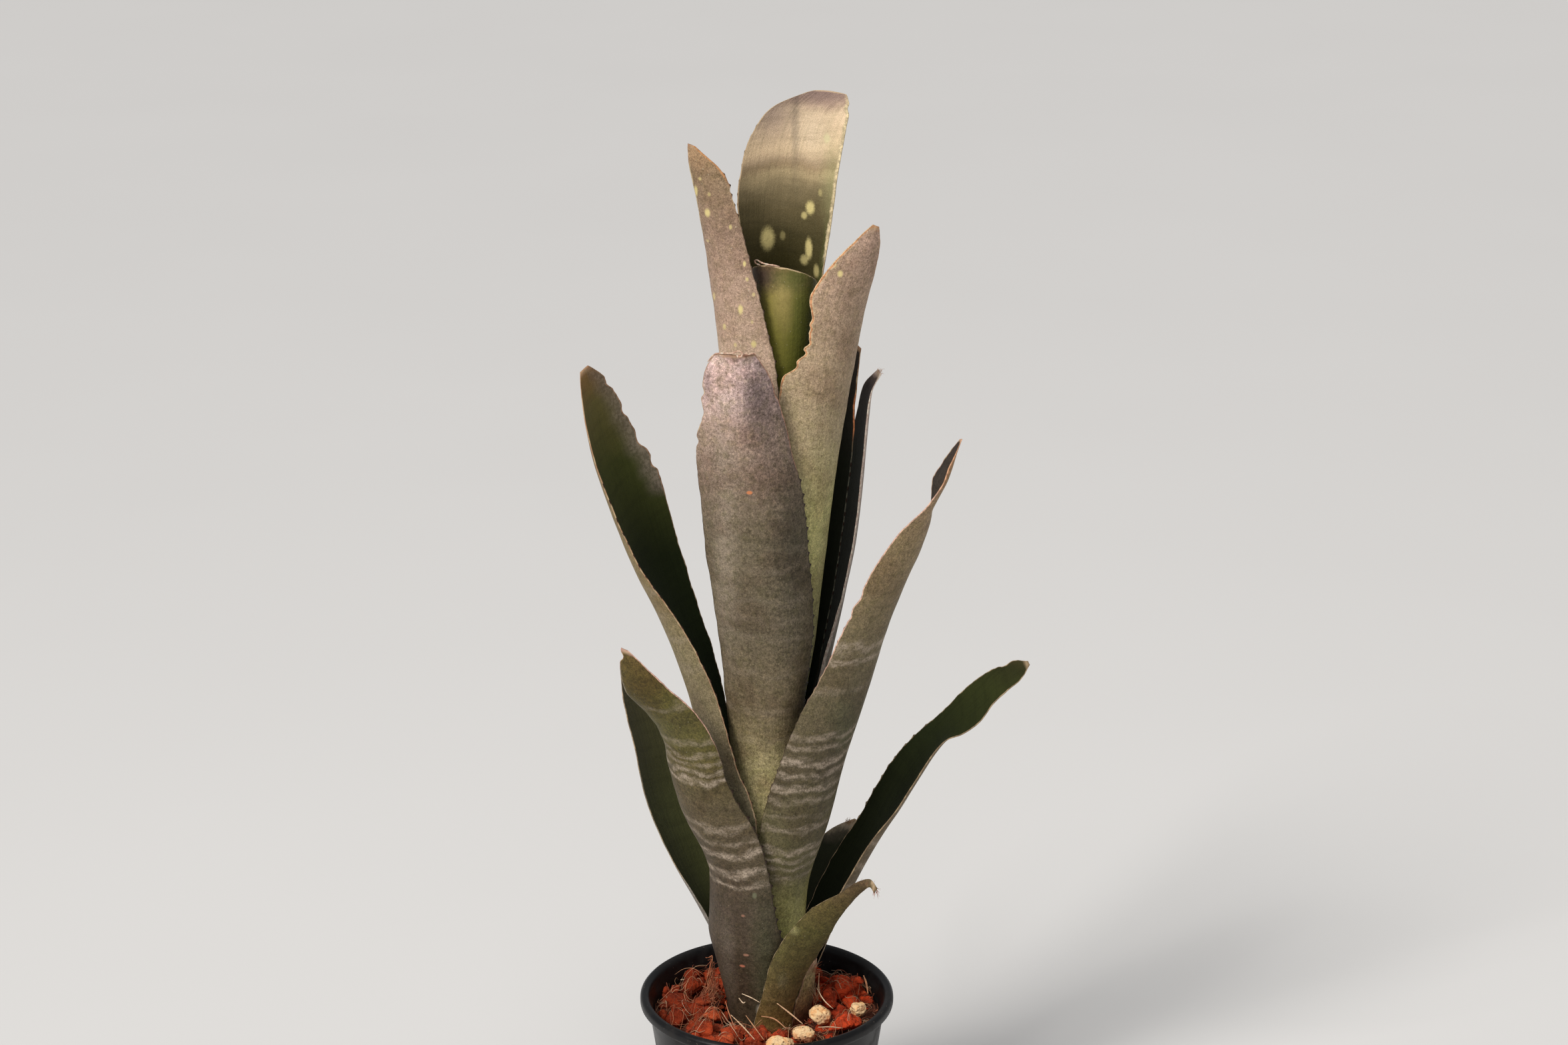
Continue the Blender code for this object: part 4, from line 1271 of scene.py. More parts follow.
RIGHT_BACK_NARROW = Leaf(LeafForm(
    "leaf_right_back_narrow", 115, 46,
    (
        polar(180, 16, 112, 50), Station((20.4, 0, 222), (14.3, 23, 216), 46),
        Station((28.7, 3, 253), (21.2, 28, 247), 32), Station((33.2, 5.2, 276), (26.4, 31.5, 270), 28),
        Station((36.2, 8.5, 300), (30.8, 33.5, 294), 24), Station((38, 13, 320), (34.4, 34, 316), 20),
        Station((40.2, 17, 331), (37.8, 31, 330), 15), Station((43.5, 20, 336), (42.5, 25, 337), 8),
    ),
    teeth=(Teeth(R, 225, 310),),
), LeafFinish(
    "dark_leaf",
    ((180, (0.197, 0.17, 0.119)), (270, (0.281, 0.229, 0.185)), (337, (0.428, 0.318, 0.266))),
    (
        (180, (0.014, 0.018, 0.007)), (300, (0.018, 0.019, 0.01)), (330, (0.04, 0.028, 0.024)),
        (337, (0.16, 0.11, 0.09)),
    ),
    scurf=0.6, inner_scurf=0.04, rim=(0.6, 0.45, 0.38), rim_width=0.22, dry_tip=2.6,
    inner_roughness=0.75, gloss=0.12,
    edgings=(Edging(L, 215, 340, 2.6, (0.86, 0.62, 0.52), 0.9, 0.7),),
))

FRONT_TALL = Leaf(LeafForm(
    "leaf_front_tall", -5, 58,
    (
        polar(195, 15.4, -3, 60), Station((-16, -12, 225), (15.5, -13, 225), 59),
        Station((-19, -15, 254), (17.8, -16, 250), 54), Station((-22.5, -17, 279), (16, -18, 277), 50),
        Station((-24.4, -19, 303), (14, -20, 300), 46), Station((-25.7, -20.5, 317), (11, -21, 315), 43),
        Station((-24.3, -22, 334), (6.8, -22.5, 332), 38), Station((-22.5, -24, 348), (2, -24, 347), 32),
        Station((-21.2, -24.8, 353.5), (-0.6, -25.2, 353), 29),
        Station((-18.6, -26.5, 357.6), (-3.6, -26.5, 357.2), 20),
    ),
    rows=24, jag=0.5, torn=0.9,
    bites=(
        Bite(L, 333, 1.8, 8), Bite(L, 342, 1.3, 2.4), Bite(L, 322.5, 0.9, 2.4), Bite(R, 318, 0.8, 8),
        Bite(R, 341, 0.6, 3),
    ),
    teeth=(Teeth(R, 178, 308),),
), LeafFinish(
    "grey_leaf",
    (
        # Painted light lifts the shaded foot (the stop at 170).
        (170, (0.578, 0.491, 0.24)), (212, (0.204, 0.156, 0.089)), (245, (0.155, 0.123, 0.077)),
        (285, (0.164, 0.131, 0.082)), (310, (0.267, 0.194, 0.142)), (330, (0.436, 0.311, 0.245)),
        # A painted highlight over the lilac-grey top (the stops at 346 and 354).
        (346, (0.984, 0.734, 0.684)), (354, (0.958, 0.712, 0.669)), (358, (0.456, 0.265, 0.222)),
    ),
    ((200, (0.03, 0.035, 0.012)), (358, (0.06, 0.05, 0.03))),
    scurf=0.6, blotch=0.5, rim=(0.4, 0.24, 0.15), rim_width=0.32, rim_from=318, dry_tip=1.2,
    bands=(
        (282, 2.2, 0.14), (275, 1.8, 0.14), (262, 2.2, 0.16), (254, 1.8, 0.16), (247, 1.8, 0.14),
        (232, 2, 0.16), (216, 2, 0.18), (203, 2, 0.14),
    ),
    edgings=(
        Edging(R, 312, 358, 0.45, (0.52, 0.26, 0.17), 0.85),
        Edging(R, 312, 356, 2.4, (0.11, 0.075, 0.07), 0.35),
    ),
    spots=(
        # A painted highlight at the top left.
        Spot(-13.5, 343, 6.5, 15, (0.72, 0.52, 0.47), 0.75, 1),
        # A painted streak of light down the left third.
        Spot(-15, 292, 4.5, 56, (0.36, 0.29, 0.22), 0.5, 1),
        Spot(-2.4, 342, 7.5, 15, (0.105, 0.072, 0.072), 0.85, 1),
        Spot(1, 328, 6.5, 20, (0.11, 0.08, 0.07), 0.5, 1),
        # Painted shade where the left margin curves away.
        Spot(-21.5, 346, 2, 7, (0.14, 0.1, 0.11), 0.5, 1),
        # Painted shade on the right third, away from the light.
        Spot(11, 285, 8, 45, (0.06, 0.052, 0.036), 0.7, 1),
        Spot(-5.9, 304.8, 1.1, 0.7, Tones.orange_scar, 0.95, 0.3),
    ),
))

LEFT_ARCHING = Leaf(LeafForm(
    "leaf_left_arching", -100, 58,
    (
        Station((-7, 18, 168), (-3.3, -20, 168), 64), Station((-14, 22, 195), (-12, -19, 195), 60),
        Station((-20, 26, 220), (-19, -15.5, 220), 58), Station((-28, 30, 245), (-31.3, -11, 245), 55),
        Station((-36, 34, 272), (-45, -7, 264), 50), Station((-43, 35.5, 297), (-55, -2.5, 283), 46),
        Station((-50, 35, 309), (-61.7, 2, 299.7), 42), Station((-57, 33, 324), (-67, 8, 316), 34),
        Station((-62, 30, 333), (-70, 16, 331), 24), Station((-67.5, 25, 338.5), (-70.2, 20.5, 337), 10),
    ),
    rows=24, jag=0.5,
    teeth=(Teeth(R, 170, 300, 0.8),),
    bites=(Bite(L, 330, 1.3, 3), Bite(L, 318, 1, 3), Bite(L, 306, 1.6, 4), Bite(L, 297, 1.2, 3)),
), LeafFinish(
    "grey_leaf",
    (
        (150, (0.223, 0.2, 0.123)), (200, (0.268, 0.214, 0.127)), (232, (0.284, 0.229, 0.125)),
        (262, (0.279, 0.207, 0.096)), (338, (0.255, 0.176, 0.086)),
    ),
    (
        (170, (0.008, 0.014, 0.003)), (262, (0.014, 0.02, 0.004)), (300, (0.069, 0.076, 0.017)),
        (322, (0.17, 0.142, 0.045)), (338, (0.312, 0.171, 0.062)),
    ),
    scurf=0.6, inner_scurf=0.05, rim=(0.42, 0.24, 0.14), rim_width=0.3, inner_roughness=0.7, gloss=0.15,
    bands=((262, 3, 0.35), (250, 2, 0.3), (241, 2, 0.3), (230, 2.5, 0.25)),
    edgings=(
        # The broad lilac-grey strip is a painted sheen; the thin strip is the dried rim.
        Edging(L, 285, 336, 9, (0.26, 0.205, 0.165), 0.7, 0.95), Edging(L, 285, 340, 0.6, Tones.rim, 0.9),
    ),
))

RIGHT_ARCHING = Leaf(LeafForm(
    "leaf_right_arching", 40, 56,
    (
        Station((-2.5, -21.5, 168), (24.5, 1, 167), 58), Station((4.6, -22, 193), (31, 2, 192), 52),
        Station((12.5, -22.5, 214), (38, 1.5, 214), 47), Station((22.5, -22.5, 234), (43.5, 0.5, 234), 42),
        Station((31.4, -22.5, 255), (50, -1.5, 254), 38),
        Station((42.2, -22.5, 276.5), (58, -7, 275.5), 32), Station((51.7, -22, 289.5), (62, -11, 290), 28),
        Station((58, -21.5, 295.4), (62.6, -11.5, 296.5), 36),
        Station((63, -21, 300.8), (60.8, -12, 301), 62), Station((66.2, -20.8, 308), (63.2, -13, 308), 66),
        Station((68.8, -20.4, 314.5), (66.8, -14.8, 314.5), 64),
        Station((72.3, -20, 323), (71.4, -18.6, 322.5), 40),
    ),
    rows=28, jag=0.4,
    teeth=(Teeth(L, 180, 252, 0.45),),
    bites=(Bite(L, 262, 1, 4), Bite(L, 254, 0.6, 2)),
), LeafFinish(
    "banded_leaf",
    (
        # Painted light lifts the shaded foot (the stop at 100).
        (100, (0.714, 0.672, 0.228)), (145, (0.155, 0.135, 0.061)), (190, (0.096, 0.075, 0.041)),
        (235, (0.19, 0.153, 0.085)), (280, (0.321, 0.234, 0.124)), (300, (0.376, 0.252, 0.146)),
        (323, (0.603, 0.349, 0.164)),
    ),
    ((150, (0.03, 0.035, 0.012)), (280, (0.035, 0.028, 0.02)), (323, (0.055, 0.042, 0.036))),
    scurf=0.55, blotch=0.45, rim=(0.5, 0.3, 0.23), rim_width=0.22, rim_from=225, dry_tip=1.5,
    edgings=(
        Edging(L, 238, 330, 0.34, (0.64, 0.4, 0.3), 0.85), Edging(L, 303, 326, 0.8, Tones.bitten, 0.6),
    ),
    spots=(Spot(30, 208, 6, 14, (0.105, 0.115, 0.05), 0.45, 0.9),),
    bands=(
        (241.5, 2.4, 0.75), (236.2, 1.8, 0.8), (224.8, 2.2, 0.3), (206.2, 1.9, 0.6), (201.4, 1.5, 0.65),
        (195.8, 2.1, 0.9), (190.3, 1.6, 0.8), (185.2, 1.8, 0.75), (180, 1.5, 0.5), (173.1, 1.2, 0.25),
        (168.3, 1.6, 0.55), (159.3, 1.9, 0.85), (155, 1.4, 0.75), (150.6, 1.6, 0.75), (145.6, 1.4, 0.5),
    ),
))

LOW_RIGHT = Leaf(LeafForm(
    "leaf_low_right", 115, 46,
    (
        Station((22, -3, 118), (15, 24, 112), 52), Station((31.8, 1, 136.5), (26, 33, 132), 47),
        Station((41, 5.5, 151), (37.6, 36, 150), 43), Station((51, 9.5, 162.5), (47, 38.5, 167), 38),
        Station((60, 14, 176), (58, 41, 180.5), 34), Station((69, 18.5, 187), (69.3, 41, 191), 30),
        Station((81, 23, 191), (80, 40, 203), 24), Station((91, 27, 202), (90.3, 38, 211), 18),
        Station((100.8, 29.5, 210.5), (99, 34.5, 215.5), 10),
        Station((103.3, 31, 214.5), (102.4, 32.5, 216), 5),
    ),
    sheath_top=92, swell=1.08, rows=22, jag=0.5,
    teeth=(Teeth(R, 140, 186, 0.5),),
    bites=(Bite(R, 213, 0.8, 1.6),),
), LeafFinish(
    "dark_leaf",
    (
        (90, (0.068, 0.05, 0.023)), (140, (0.154, 0.114, 0.065)), (185, (0.21, 0.155, 0.086)),
        (216, (0.196, 0.132, 0.069)),
    ),
    (
        (100, (0.008, 0.011, 0.002)), (165, (0.014, 0.018, 0.004)), (185, (0.022, 0.028, 0.007)),
        (203, (0.039, 0.045, 0.011)), (212, (0.031, 0.032, 0.009)), (216, (0.058, 0.047, 0.018)),
    ),
    scurf=0.6, inner_scurf=0.05, rim=(0.3, 0.21, 0.13), rim_width=0.28, inner_roughness=0.75,
    gloss=0.12,
    bands=((150, 3, 0.6), (140, 2.5, 0.5), (132, 2, 0.4), (166, 2.5, 0.4)),
))

BACK_LEFT_LOW = Leaf(LeafForm(
    "leaf_back_left_low", -135, 48,
    (
        Station((-5, 22, 116), (-21.8, -2.2, 119), 58), Station((-16, 32, 140), (-37.4, 8.8, 142), 47),
        Station((-25, 36, 160), (-46.5, 18, 160), 39), Station((-33, 39, 182), (-52, 23, 183), 32),
        Station((-43, 40, 202), (-56.5, 28, 203), 22), Station((-52, 37, 212), (-57.5, 31, 211.5), 10),
    ),
    sheath_top=92, swell=1.08, rows=18,
), LeafFinish(
    "dark_leaf",
    ((90, (0.18, 0.155, 0.13)), (135, (0.25, 0.22, 0.19)), (212, (0.16, 0.14, 0.1))),
    ((100, (0.046, 0.049, 0.014)), (160, (0.066, 0.069, 0.025)), (212, (0.086, 0.076, 0.035))),
    scurf=0.6, inner_scurf=0.05, rim=(0.24, 0.18, 0.12), rim_width=0.22,
    edgings=(
        Edging(R, 92, 136, 1.1, (0.22, 0.2, 0.17), 0.8), Edging(R, 140, 176, 0.9, (0.16, 0.145, 0.1), 0.5),
    ),
))

LOW_LEFT = Leaf(LeafForm(
    "leaf_low_left", -25, 58,
    (
        Station((-19.3, -5, 130), (4.3, -20.5, 127), 58), Station((-23.7, -8, 152), (0, -24, 154), 54),
        Station((-32, -12, 171), (-4.3, -26, 169), 50), Station((-36.5, -15, 188), (-13.6, -29, 187), 46),
        Station((-39.8, -19, 205.5), (-18.6, -32, 206), 40), Station((-45, -23, 216), (-26, -34, 220), 34),
        Station((-53, -27, 227), (-37, -35, 231), 26), Station((-54.7, -29.5, 239), (-45, -34.5, 239), 14),
        Station((-54, -30.5, 245), (-51, -32, 244), 5),
    ),
    sheath_top=105, swell=1.18, rows=22,
    teeth=(Teeth(R, 118, 190),),
    bites=(Bite(L, 241.5, 1.4, 2.6),),
), LeafFinish(
    "banded_leaf",
    (
        (82, (0.063, 0.043, 0.024)), (105, (0.08, 0.054, 0.034)), (135, (0.096, 0.071, 0.047)),
        (180, (0.131, 0.099, 0.052)), (205, (0.117, 0.094, 0.024)), (225, (0.111, 0.086, 0.019)),
        (245, (0.122, 0.079, 0.024)),
    ),
    ((100, (0.04, 0.045, 0.015)), (245, (0.07, 0.06, 0.03))),
    blotch=0.5, rim=(0.5, 0.29, 0.23), rim_width=0.24, rim_from=205,
    edgings=(
        Edging(R, 208, 250, 0.36, (0.62, 0.36, 0.28), 0.85),
        Edging(L, 150, 236, 0.9, (0.24, 0.21, 0.15), 0.6),
    ),
    bands=(
        (222, 2, 0.3), (207.9, 1.8, 0.4), (202.6, 1.4, 0.5), (198.9, 1.2, 0.6), (195.4, 1.4, 0.75),
        (191.5, 1.8, 0.9), (172.2, 2, 0.5), (166.1, 1.9, 0.5), (159.8, 2.3, 0.95), (151.2, 2.1, 0.95),
        (145.2, 1.5, 0.7),
    ),
    spots=(
        Spot(-7.9, 114.2, 1.1, 0.6, Tones.scar, 0.85, 0.35),
        Spot(-9.4, 108.5, 1.1, 0.65, (0.5, 0.17, 0.1), 0.9, 0.35), Spot(-9, 132, 0.7, 0.6, Tones.scar, 0.6),
        Spot(-2.6, 88.5, 1.4, 2.2, (0.46, 0.4, 0.32), 0.7, 0.7),
        Spot(-4.5, 141, 0.9, 1.3, (0.3, 0.34, 0.2), 0.3),
        Spot(-15, 110, 3, 26, (0.17, 0.135, 0.105), 0.5, 1),
        Spot(0, 112, 5.5, 30, (0.085, 0.09, 0.045), 0.6, 1),
        Spot(-30, 215, 12, 14, (0.15, 0.145, 0.05), 0.5, 1),
    ),
))

BACK_RIGHT_SMALL = Leaf(LeafForm(
    "leaf_back_right_small", 150, 36,
    (
        Station((19, 8, 106), (3, 20, 106), 45), Station((28, 16, 128), (14, 28, 130), 38),
        Station((35, 23, 145), (25, 32, 147), 28), Station((37, 27, 150), (32, 32, 152), 12),
    ),
    sheath_top=86, swell=1.05, rows=12,
), LeafFinish(
    "banded_leaf",
    ((90, (0.1, 0.09, 0.06)), (152, (0.18, 0.16, 0.12))),
    (
        (90, (0.02, 0.024, 0.009)), (137, (0.03, 0.033, 0.015)), (140.5, (0.12, 0.1, 0.07)),
        (143, (0.46, 0.37, 0.26)), (146, (0.58, 0.47, 0.34)),
    ),
    scurf=0.6, inner_scurf=0.5, rim=(0.55, 0.45, 0.33), rim_width=0.28, dry_tip=4.5,
    inner_roughness=0.75,
))

BASAL_STUB = Leaf(LeafForm(
    "leaf_basal_stub", 65, 34,
    (polar(92, 18.6, 66, 28), polar(105, 19.8, 68, 13)),
    sheath_top=76, swell=1.02, rows=8, jag=1, torn=0.8,
), LeafFinish(
    "dry_leaf",
    (
        (80, (0.25, 0.085, 0.045)), (88, (0.32, 0.195, 0.1)), (97, (0.36, 0.275, 0.135)),
        (105, (0.44, 0.32, 0.19)),
    ),
    ((80, (0.1, 0.06, 0.04)), (105, (0.16, 0.12, 0.08))),
    scurf=0.3, blotch=0.7, streaked=0.7, rim=(0.3, 0.16, 0.11), rim_width=0.6, dry_tip=3, roughness=0.8,
    inner_roughness=0.8,
))

FRONT_SMALL = Leaf(LeafForm(
    "leaf_front_small", 8, 26,
    (
        polar(84, 18.4, 8, 24), Station((-1.8, -19.6, 96), (11.4, -17.4, 94), 34),
        Station((0.6, -21, 108), (15.4, -18, 105), 36), Station((4.6, -22, 118), (19.2, -20, 113), 36),
        Station((11.5, -24, 129), (23.4, -23, 122), 35), Station((18.6, -27, 138), (27.6, -27, 132), 33),
        Station((27, -31, 144.5), (32, -31, 140), 28), Station((35.5, -35, 152), (37, -34.5, 147.5), 20),
        Station((40, -37, 153.5), (39.6, -37, 150), 12),
        Station((42.3, -38.5, 150.5), (40.9, -38.3, 148.3), 6),
    ),
    sheath_top=74, swell=1.02, rows=18, jag=0.3,
), LeafFinish(
    "young_leaf",
    (
        (82, (0.205, 0.124, 0.038)), (96, (0.16, 0.108, 0.041)), (112, (0.112, 0.09, 0.03)),
        (126, (0.098, 0.083, 0.023)), (138, (0.113, 0.081, 0.026)), (150, (0.105, 0.066, 0.031)),
    ),
    ((90, (0.04, 0.04, 0.016)), (150, (0.07, 0.06, 0.025))),
    scurf=0.45, blotch=0.5, rim=(0.13, 0.095, 0.045), rim_width=0.1, dry_tip=5,
    spots=(
        # A painted highlight.
        Spot(10.4, 126.5, 2.2, 1.8, (0.34, 0.31, 0.14), 0.6, 0.9),
        Spot(6, 104, 2, 3.5, (0.2, 0.17, 0.1), 0.45, 0.9),
    ),
))

# The leaves from the inside out, the order in which their sheaths are laid around one another.
LEAVES = (
    INNER_TUBE, BACK_TOP, LEFT_TALL, RIGHT_TALL, BACK_RIGHT_UPPER, RIGHT_BACK_NARROW, FRONT_TALL,
    LEFT_ARCHING, RIGHT_ARCHING, LOW_RIGHT, BACK_LEFT_LOW, LOW_LEFT, BACK_RIGHT_SMALL, BASAL_STUB,
    FRONT_SMALL,
)


def tube(path: np.ndarray, radii: Iterable[float], sides: int) -> tuple[list[Vector], Faces]:
    """A closed tube along a path.

    Args:
        path: Points of the middle line.
        radii: One radius for each point.
        sides: Number of sides.

    Returns:
        Its points and faces.
    """
    path = [Vector(point) for point in path]
    verts, faces = [], []
    up = Vector((0.3, 0.2, 1.0))
    for k, (point, radius) in enumerate(zip(path, radii)):
        along = (path[min(k + 1, len(path) - 1)] - path[max(k - 1, 0)]).normalized()
        side = along.cross(up).normalized()
        up = side.cross(along).normalized()
        for j in range(sides):
            angle = 2 * math.pi * j / sides
            verts.append(point + (side * math.cos(angle) + up * math.sin(angle)) * radius)
    for k in range(len(path) - 1):
        for j in range(sides):
            nxt = (j + 1) % sides
            faces.append((k * sides + j, k * sides + nxt, (k + 1) * sides + nxt, (k + 1) * sides + j))
    faces.append(tuple(range(sides - 1, -1, -1)))
    faces.append(tuple(range((len(path) - 1) * sides, len(path) * sides)))
    return verts, faces


def smooth_path(points: Sequence[Point], count: int) -> np.ndarray:
    """A number of points on a smooth line through the given points."""
    at = np.linspace(0.0, len(points) - 1.0, count)
    return eased(np.arange(len(points), dtype=float), np.array(points), at)


@dataclass
class Pile:
    """Points and faces gathered from many small solids, with one number for each solid."""

    verts: list = field(default_factory=list)
    faces: list = field(default_factory=list)
    lots: list = field(default_factory=list)

    def add(self, verts: Sequence, faces: Faces, lot: float = 0.0) -> None:
        """Add one solid.

        Args:
            verts: Its points.
            faces: Its rings of indices.
            lot: Its number, which its colour follows.
        """
        start = len(self.verts)
        self.verts.extend(verts)
        self.faces.extend(tuple(i + start for i in face) for face in faces)
        self.lots.extend([lot] * len(verts))

    def dress(self, name: str, finish: Material, slot: str, *nodes: str) -> None:
        """Make one piece of the whole pile.

        Args:
            name: Name of the piece.
            finish: Its material.
            slot: Slot of its finish.
            nodes: Nodes that it replaces.
        """
        piece = smooth_object(name, self.verts, self.faces, finish)
        set_numbers(piece, "lot", "FLOAT", np.array(self.lots))
        settle_in(piece, slot, *nodes)


def ground_of(*piles: Pile) -> BVHTree:
    """The faces of several piles, for other pieces to fall on.

    Args:
        piles: The piles.

    Returns:
        A tree of their faces.
    """
    whole = Pile()
    for pile in piles:
        whole.add(pile.verts, pile.faces)
    return BVHTree.FromPolygons([Vector(vert) for vert in whole.verts], whole.faces)


@dataclass(frozen=True)
class BlackPlastic:
    """Satin black plastic with dust, fine scratches and faint moulding rings."""

    black: Colour = (0.006, 0.006, 0.0065)
    dusty: Colour = (0.030, 0.026, 0.023)
    scratched: Colour = (0.050, 0.045, 0.040)
    speck: Colour = (0.30, 0.24, 0.19)
    roughness: float = 0.34
    gloss: float = 0.22

    def material(self) -> Material:
        """Make the finish.

        Returns:
            The material.
        """
        shader = Shader("black_plastic")
        place = shader.place()
        x, y, z = shader.split(place)
        angle = shader.math("ARCTAN2", y, x)
        dust = shader.smooth(shader.noise(place, 0.11, 4.0, 0.65), 0.44, 0.72)
        specks = shader.smooth(shader.cells(place, 0.62), 0.05, 0.13, 1.0, 0.0)
        rare = shader.smooth(shader.noise(place, 0.2), 0.52, 0.62)
        scuffs = shader.noise(shader.join(angle * 22.0, z * 2.4, 4.0), 1.0, 3.0, 0.7)
        scratch = shader.smooth(scuffs, 0.62, 0.72)
        colour = shader.mix(self.black, self.dusty, dust * 0.4)
        colour = shader.mix(colour, self.scratched, scratch * 0.3)
        colour = shader.mix(colour, self.speck, specks * rare * 0.7)
        rough = self.roughness + dust * 0.22 + scratch * 0.12
        rings = shader.noise(shader.join(0.0, 0.0, z * 1.6), 1.0, 1.0)
        relief = rings * 0.05 + shader.noise(place, 1.8) * 0.05 + scratch * 0.03
        return shader.surface(colour, rough, shader.bump(relief, 0.5), Specular_IOR_Level=self.gloss)


@dataclass(frozen=True)
class BrickChips:
    """Rough terracotta: each chip a little different, with pale grit, painted highlights on its raised grit
    and painted shade in its hollows.
    """

    tones: Stops = (
        (0.0, (0.34, 0.042, 0.014)), (0.4, (0.52, 0.068, 0.020)),
        (0.75, (0.42, 0.056, 0.022)), (1.0, (0.68, 0.125, 0.042)),
    )
    # Painted light that lifts the chips towards the right, and painted shade that darkens them at the back
    # left.
    dry: Colour = (1.65, 1.25, 1.1)
    painted_shade: Colour = (0.58, 0.56, 0.55)
    cloud: Colour = (0.13, 0.021, 0.010)
    # A painted highlight on the raised grit, and painted shade in the hollows.
    raised_highlight: Colour = (0.60, 0.155, 0.060)
    hollow_shade: Colour = (0.085, 0.020, 0.012)
    pale: Colour = (0.66, 0.42, 0.28)
    roughness: float = 0.85
    gloss: float = 0.1

    def material(self) -> Material:
        """Make the finish.

        Returns:
            The material.
        """
        shader = Shader("brick_chips")
        place = shader.place()
        lot = shader.attribute("lot", "Fac")
        grit = shader.noise(place, 1.6, 4.0, 0.68)
        clouds = shader.noise(place, 0.22, 3.0, 0.6)
        x, y, _ = shader.split(place)
        # Painted light towards the right, and painted shade at the back left where the leaves hang over the
        # bed.
        dry = shader.smooth(x, -12.0, 26.0, 0.0, 0.85)
        painted_shade = shader.smooth(x, -32.0, -16.0, 1.0, 0.0) * shader.smooth(y, -26.0, -12.0)
        tone = shader.mix(shader.ramp(lot, self.tones), self.dry, dry, "MULTIPLY")
        tone = shader.mix(tone, self.painted_shade, painted_shade, "MULTIPLY")
        colour = shader.layer(tone, self.cloud, clouds, 0.42, 0.66, 0.65)
        # A painted highlight on the raised grit, weaker in the painted shade at the back left.
        raised_highlight = shader.smooth(grit, 0.54, 0.70) * (0.6 - painted_shade * 0.35)
        colour = shader.mix(colour, self.raised_highlight, raised_highlight)
        # Painted shade in the hollows of the grit.
        colour = shader.layer(colour, self.hollow_shade, grit, 0.32, 0.45, 0.8, 1.0, 0.0)
        pale = shader.smooth(shader.cells(place, 0.75), 0.05, 0.14, 1.0, 0.0)
        pale = pale * shader.smooth(clouds, 0.5, 0.6)
        colour = shader.mix(colour, self.pale, pale * 0.5)
        relief = grit * 0.9 + shader.noise(place, 4.0, 3.0) * 0.3
        rough = self.roughness + grit * 0.12
        return shader.surface(colour, rough, shader.bump(relief, 0.9), Specular_IOR_Level=self.gloss)


@dataclass(frozen=True)
class CoirMix:
    """The dark fibrous mix between the chips."""

    tones: Stops = ((0.25, (0.020, 0.008, 0.005)), (0.5, (0.090, 0.026, 0.014)), (0.75, (0.24, 0.075, 0.038)))
    strand: Colour = (0.28, 0.13, 0.075)
    roughness: float = 0.92
    gloss: float = 0.2

    def material(self) -> Material:
        """Make the finish.

        Returns:
            The material.
        """
        shader = Shader("coir_mix")
        place = shader.place()
        x, y, z = shader.split(place)
        grit = shader.noise(place, 1.2, 4.0, 0.7)
        strands = shader.noise(shader.join(x * 1.4, y * 0.4, z), 1.0, 3.0)
        colour = shader.layer(shader.ramp(grit, self.tones), self.strand, strands, 0.58, 0.7, 0.6)
        relief = grit * 1.1 + strands * 0.4
        return shader.surface(colour, self.roughness, shader.bump(relief, 0.9), Specular_IOR_Level=self.gloss)


@dataclass(frozen=True)
class CreamStone:
    """Cream stone with brown stains, specks and pits, darker where it touches the bed."""

    warm: Colour = (0.88, 0.47, 0.20)
    cream: Colour = (0.92, 0.68, 0.38)
    brown: Colour = (0.50, 0.20, 0.085)
    speck: Colour = (0.16, 0.065, 0.03)
    pit: Colour = (0.42, 0.25, 0.13)
    # Darker and redder towards the foot, where the stone meets the bed.
    foot_tint: Colour = (0.44, 0.13, 0.055)
    foot_tint_heights: Span = (81.0, 85.5)
    roughness: float = 0.75
    gloss: float = 0.25

    def material(self) -> Material:
        """Make the finish.

        Returns:
            The material.
        """
        shader = Shader("cream_stone")
        place = shader.place()
        height = shader.split(place)[2]
        grit = shader.noise(place, 1.1, 4.0, 0.68)
        clouds = shader.noise(place, 0.24, 3.0, 0.6)
        colour = shader.mix(self.warm, self.cream, shader.smooth(clouds, 0.38, 0.6))
        colour = shader.layer(colour, self.brown, clouds, 0.52, 0.70, 0.7)
        specks = shader.smooth(shader.cells(place, 0.5), 0.10, 0.26, 1.0, 0.0)
        specks = specks * shader.smooth(grit, 0.44, 0.54)
        colour = shader.mix(colour, self.speck, specks * 0.9)
        colour = shader.layer(colour, self.pit, grit, 0.30, 0.44, 0.6, 1.0, 0.0)
        # Darker and redder towards the foot, where the stone meets the bed.
        low = height + (grit - 0.5) * 6.0
        colour = shader.layer(colour, self.foot_tint, low, *self.foot_tint_heights, 0.8, 1.0, 0.0)
        relief = grit * 0.7 + clouds * 0.4 - specks * 0.4
        rough = self.roughness + grit * 0.2
        return shader.surface(colour, rough, shader.bump(relief, 0.8), Specular_IOR_Level=self.gloss)


@dataclass(frozen=True)
class CoirFibre:
    """Dry coir and straw, from red-brown to pale straw by strand."""

    tones: Stops = (
        (0.0, (0.22, 0.060, 0.030)), (0.4, (0.40, 0.130, 0.060)),
        (0.75, (0.50, 0.27, 0.14)), (1.0, (0.74, 0.58, 0.40)),
    )
    shade: Colour = (0.16, 0.06, 0.03)
    roughness: float = 0.7
    gloss: float = 0.3

    def material(self) -> Material:
        """Make the finish.

        Returns:
            The material.
        """
        shader = Shader("coir_fibre")
        place = shader.place()
        tone = shader.ramp(shader.attribute("lot", "Fac"), self.tones)
        colour = shader.layer(tone, self.shade, shader.noise(place, 0.8), 0.5, 0.7, 0.5)
        return shader.surface(colour, self.roughness, Specular_IOR_Level=self.gloss)


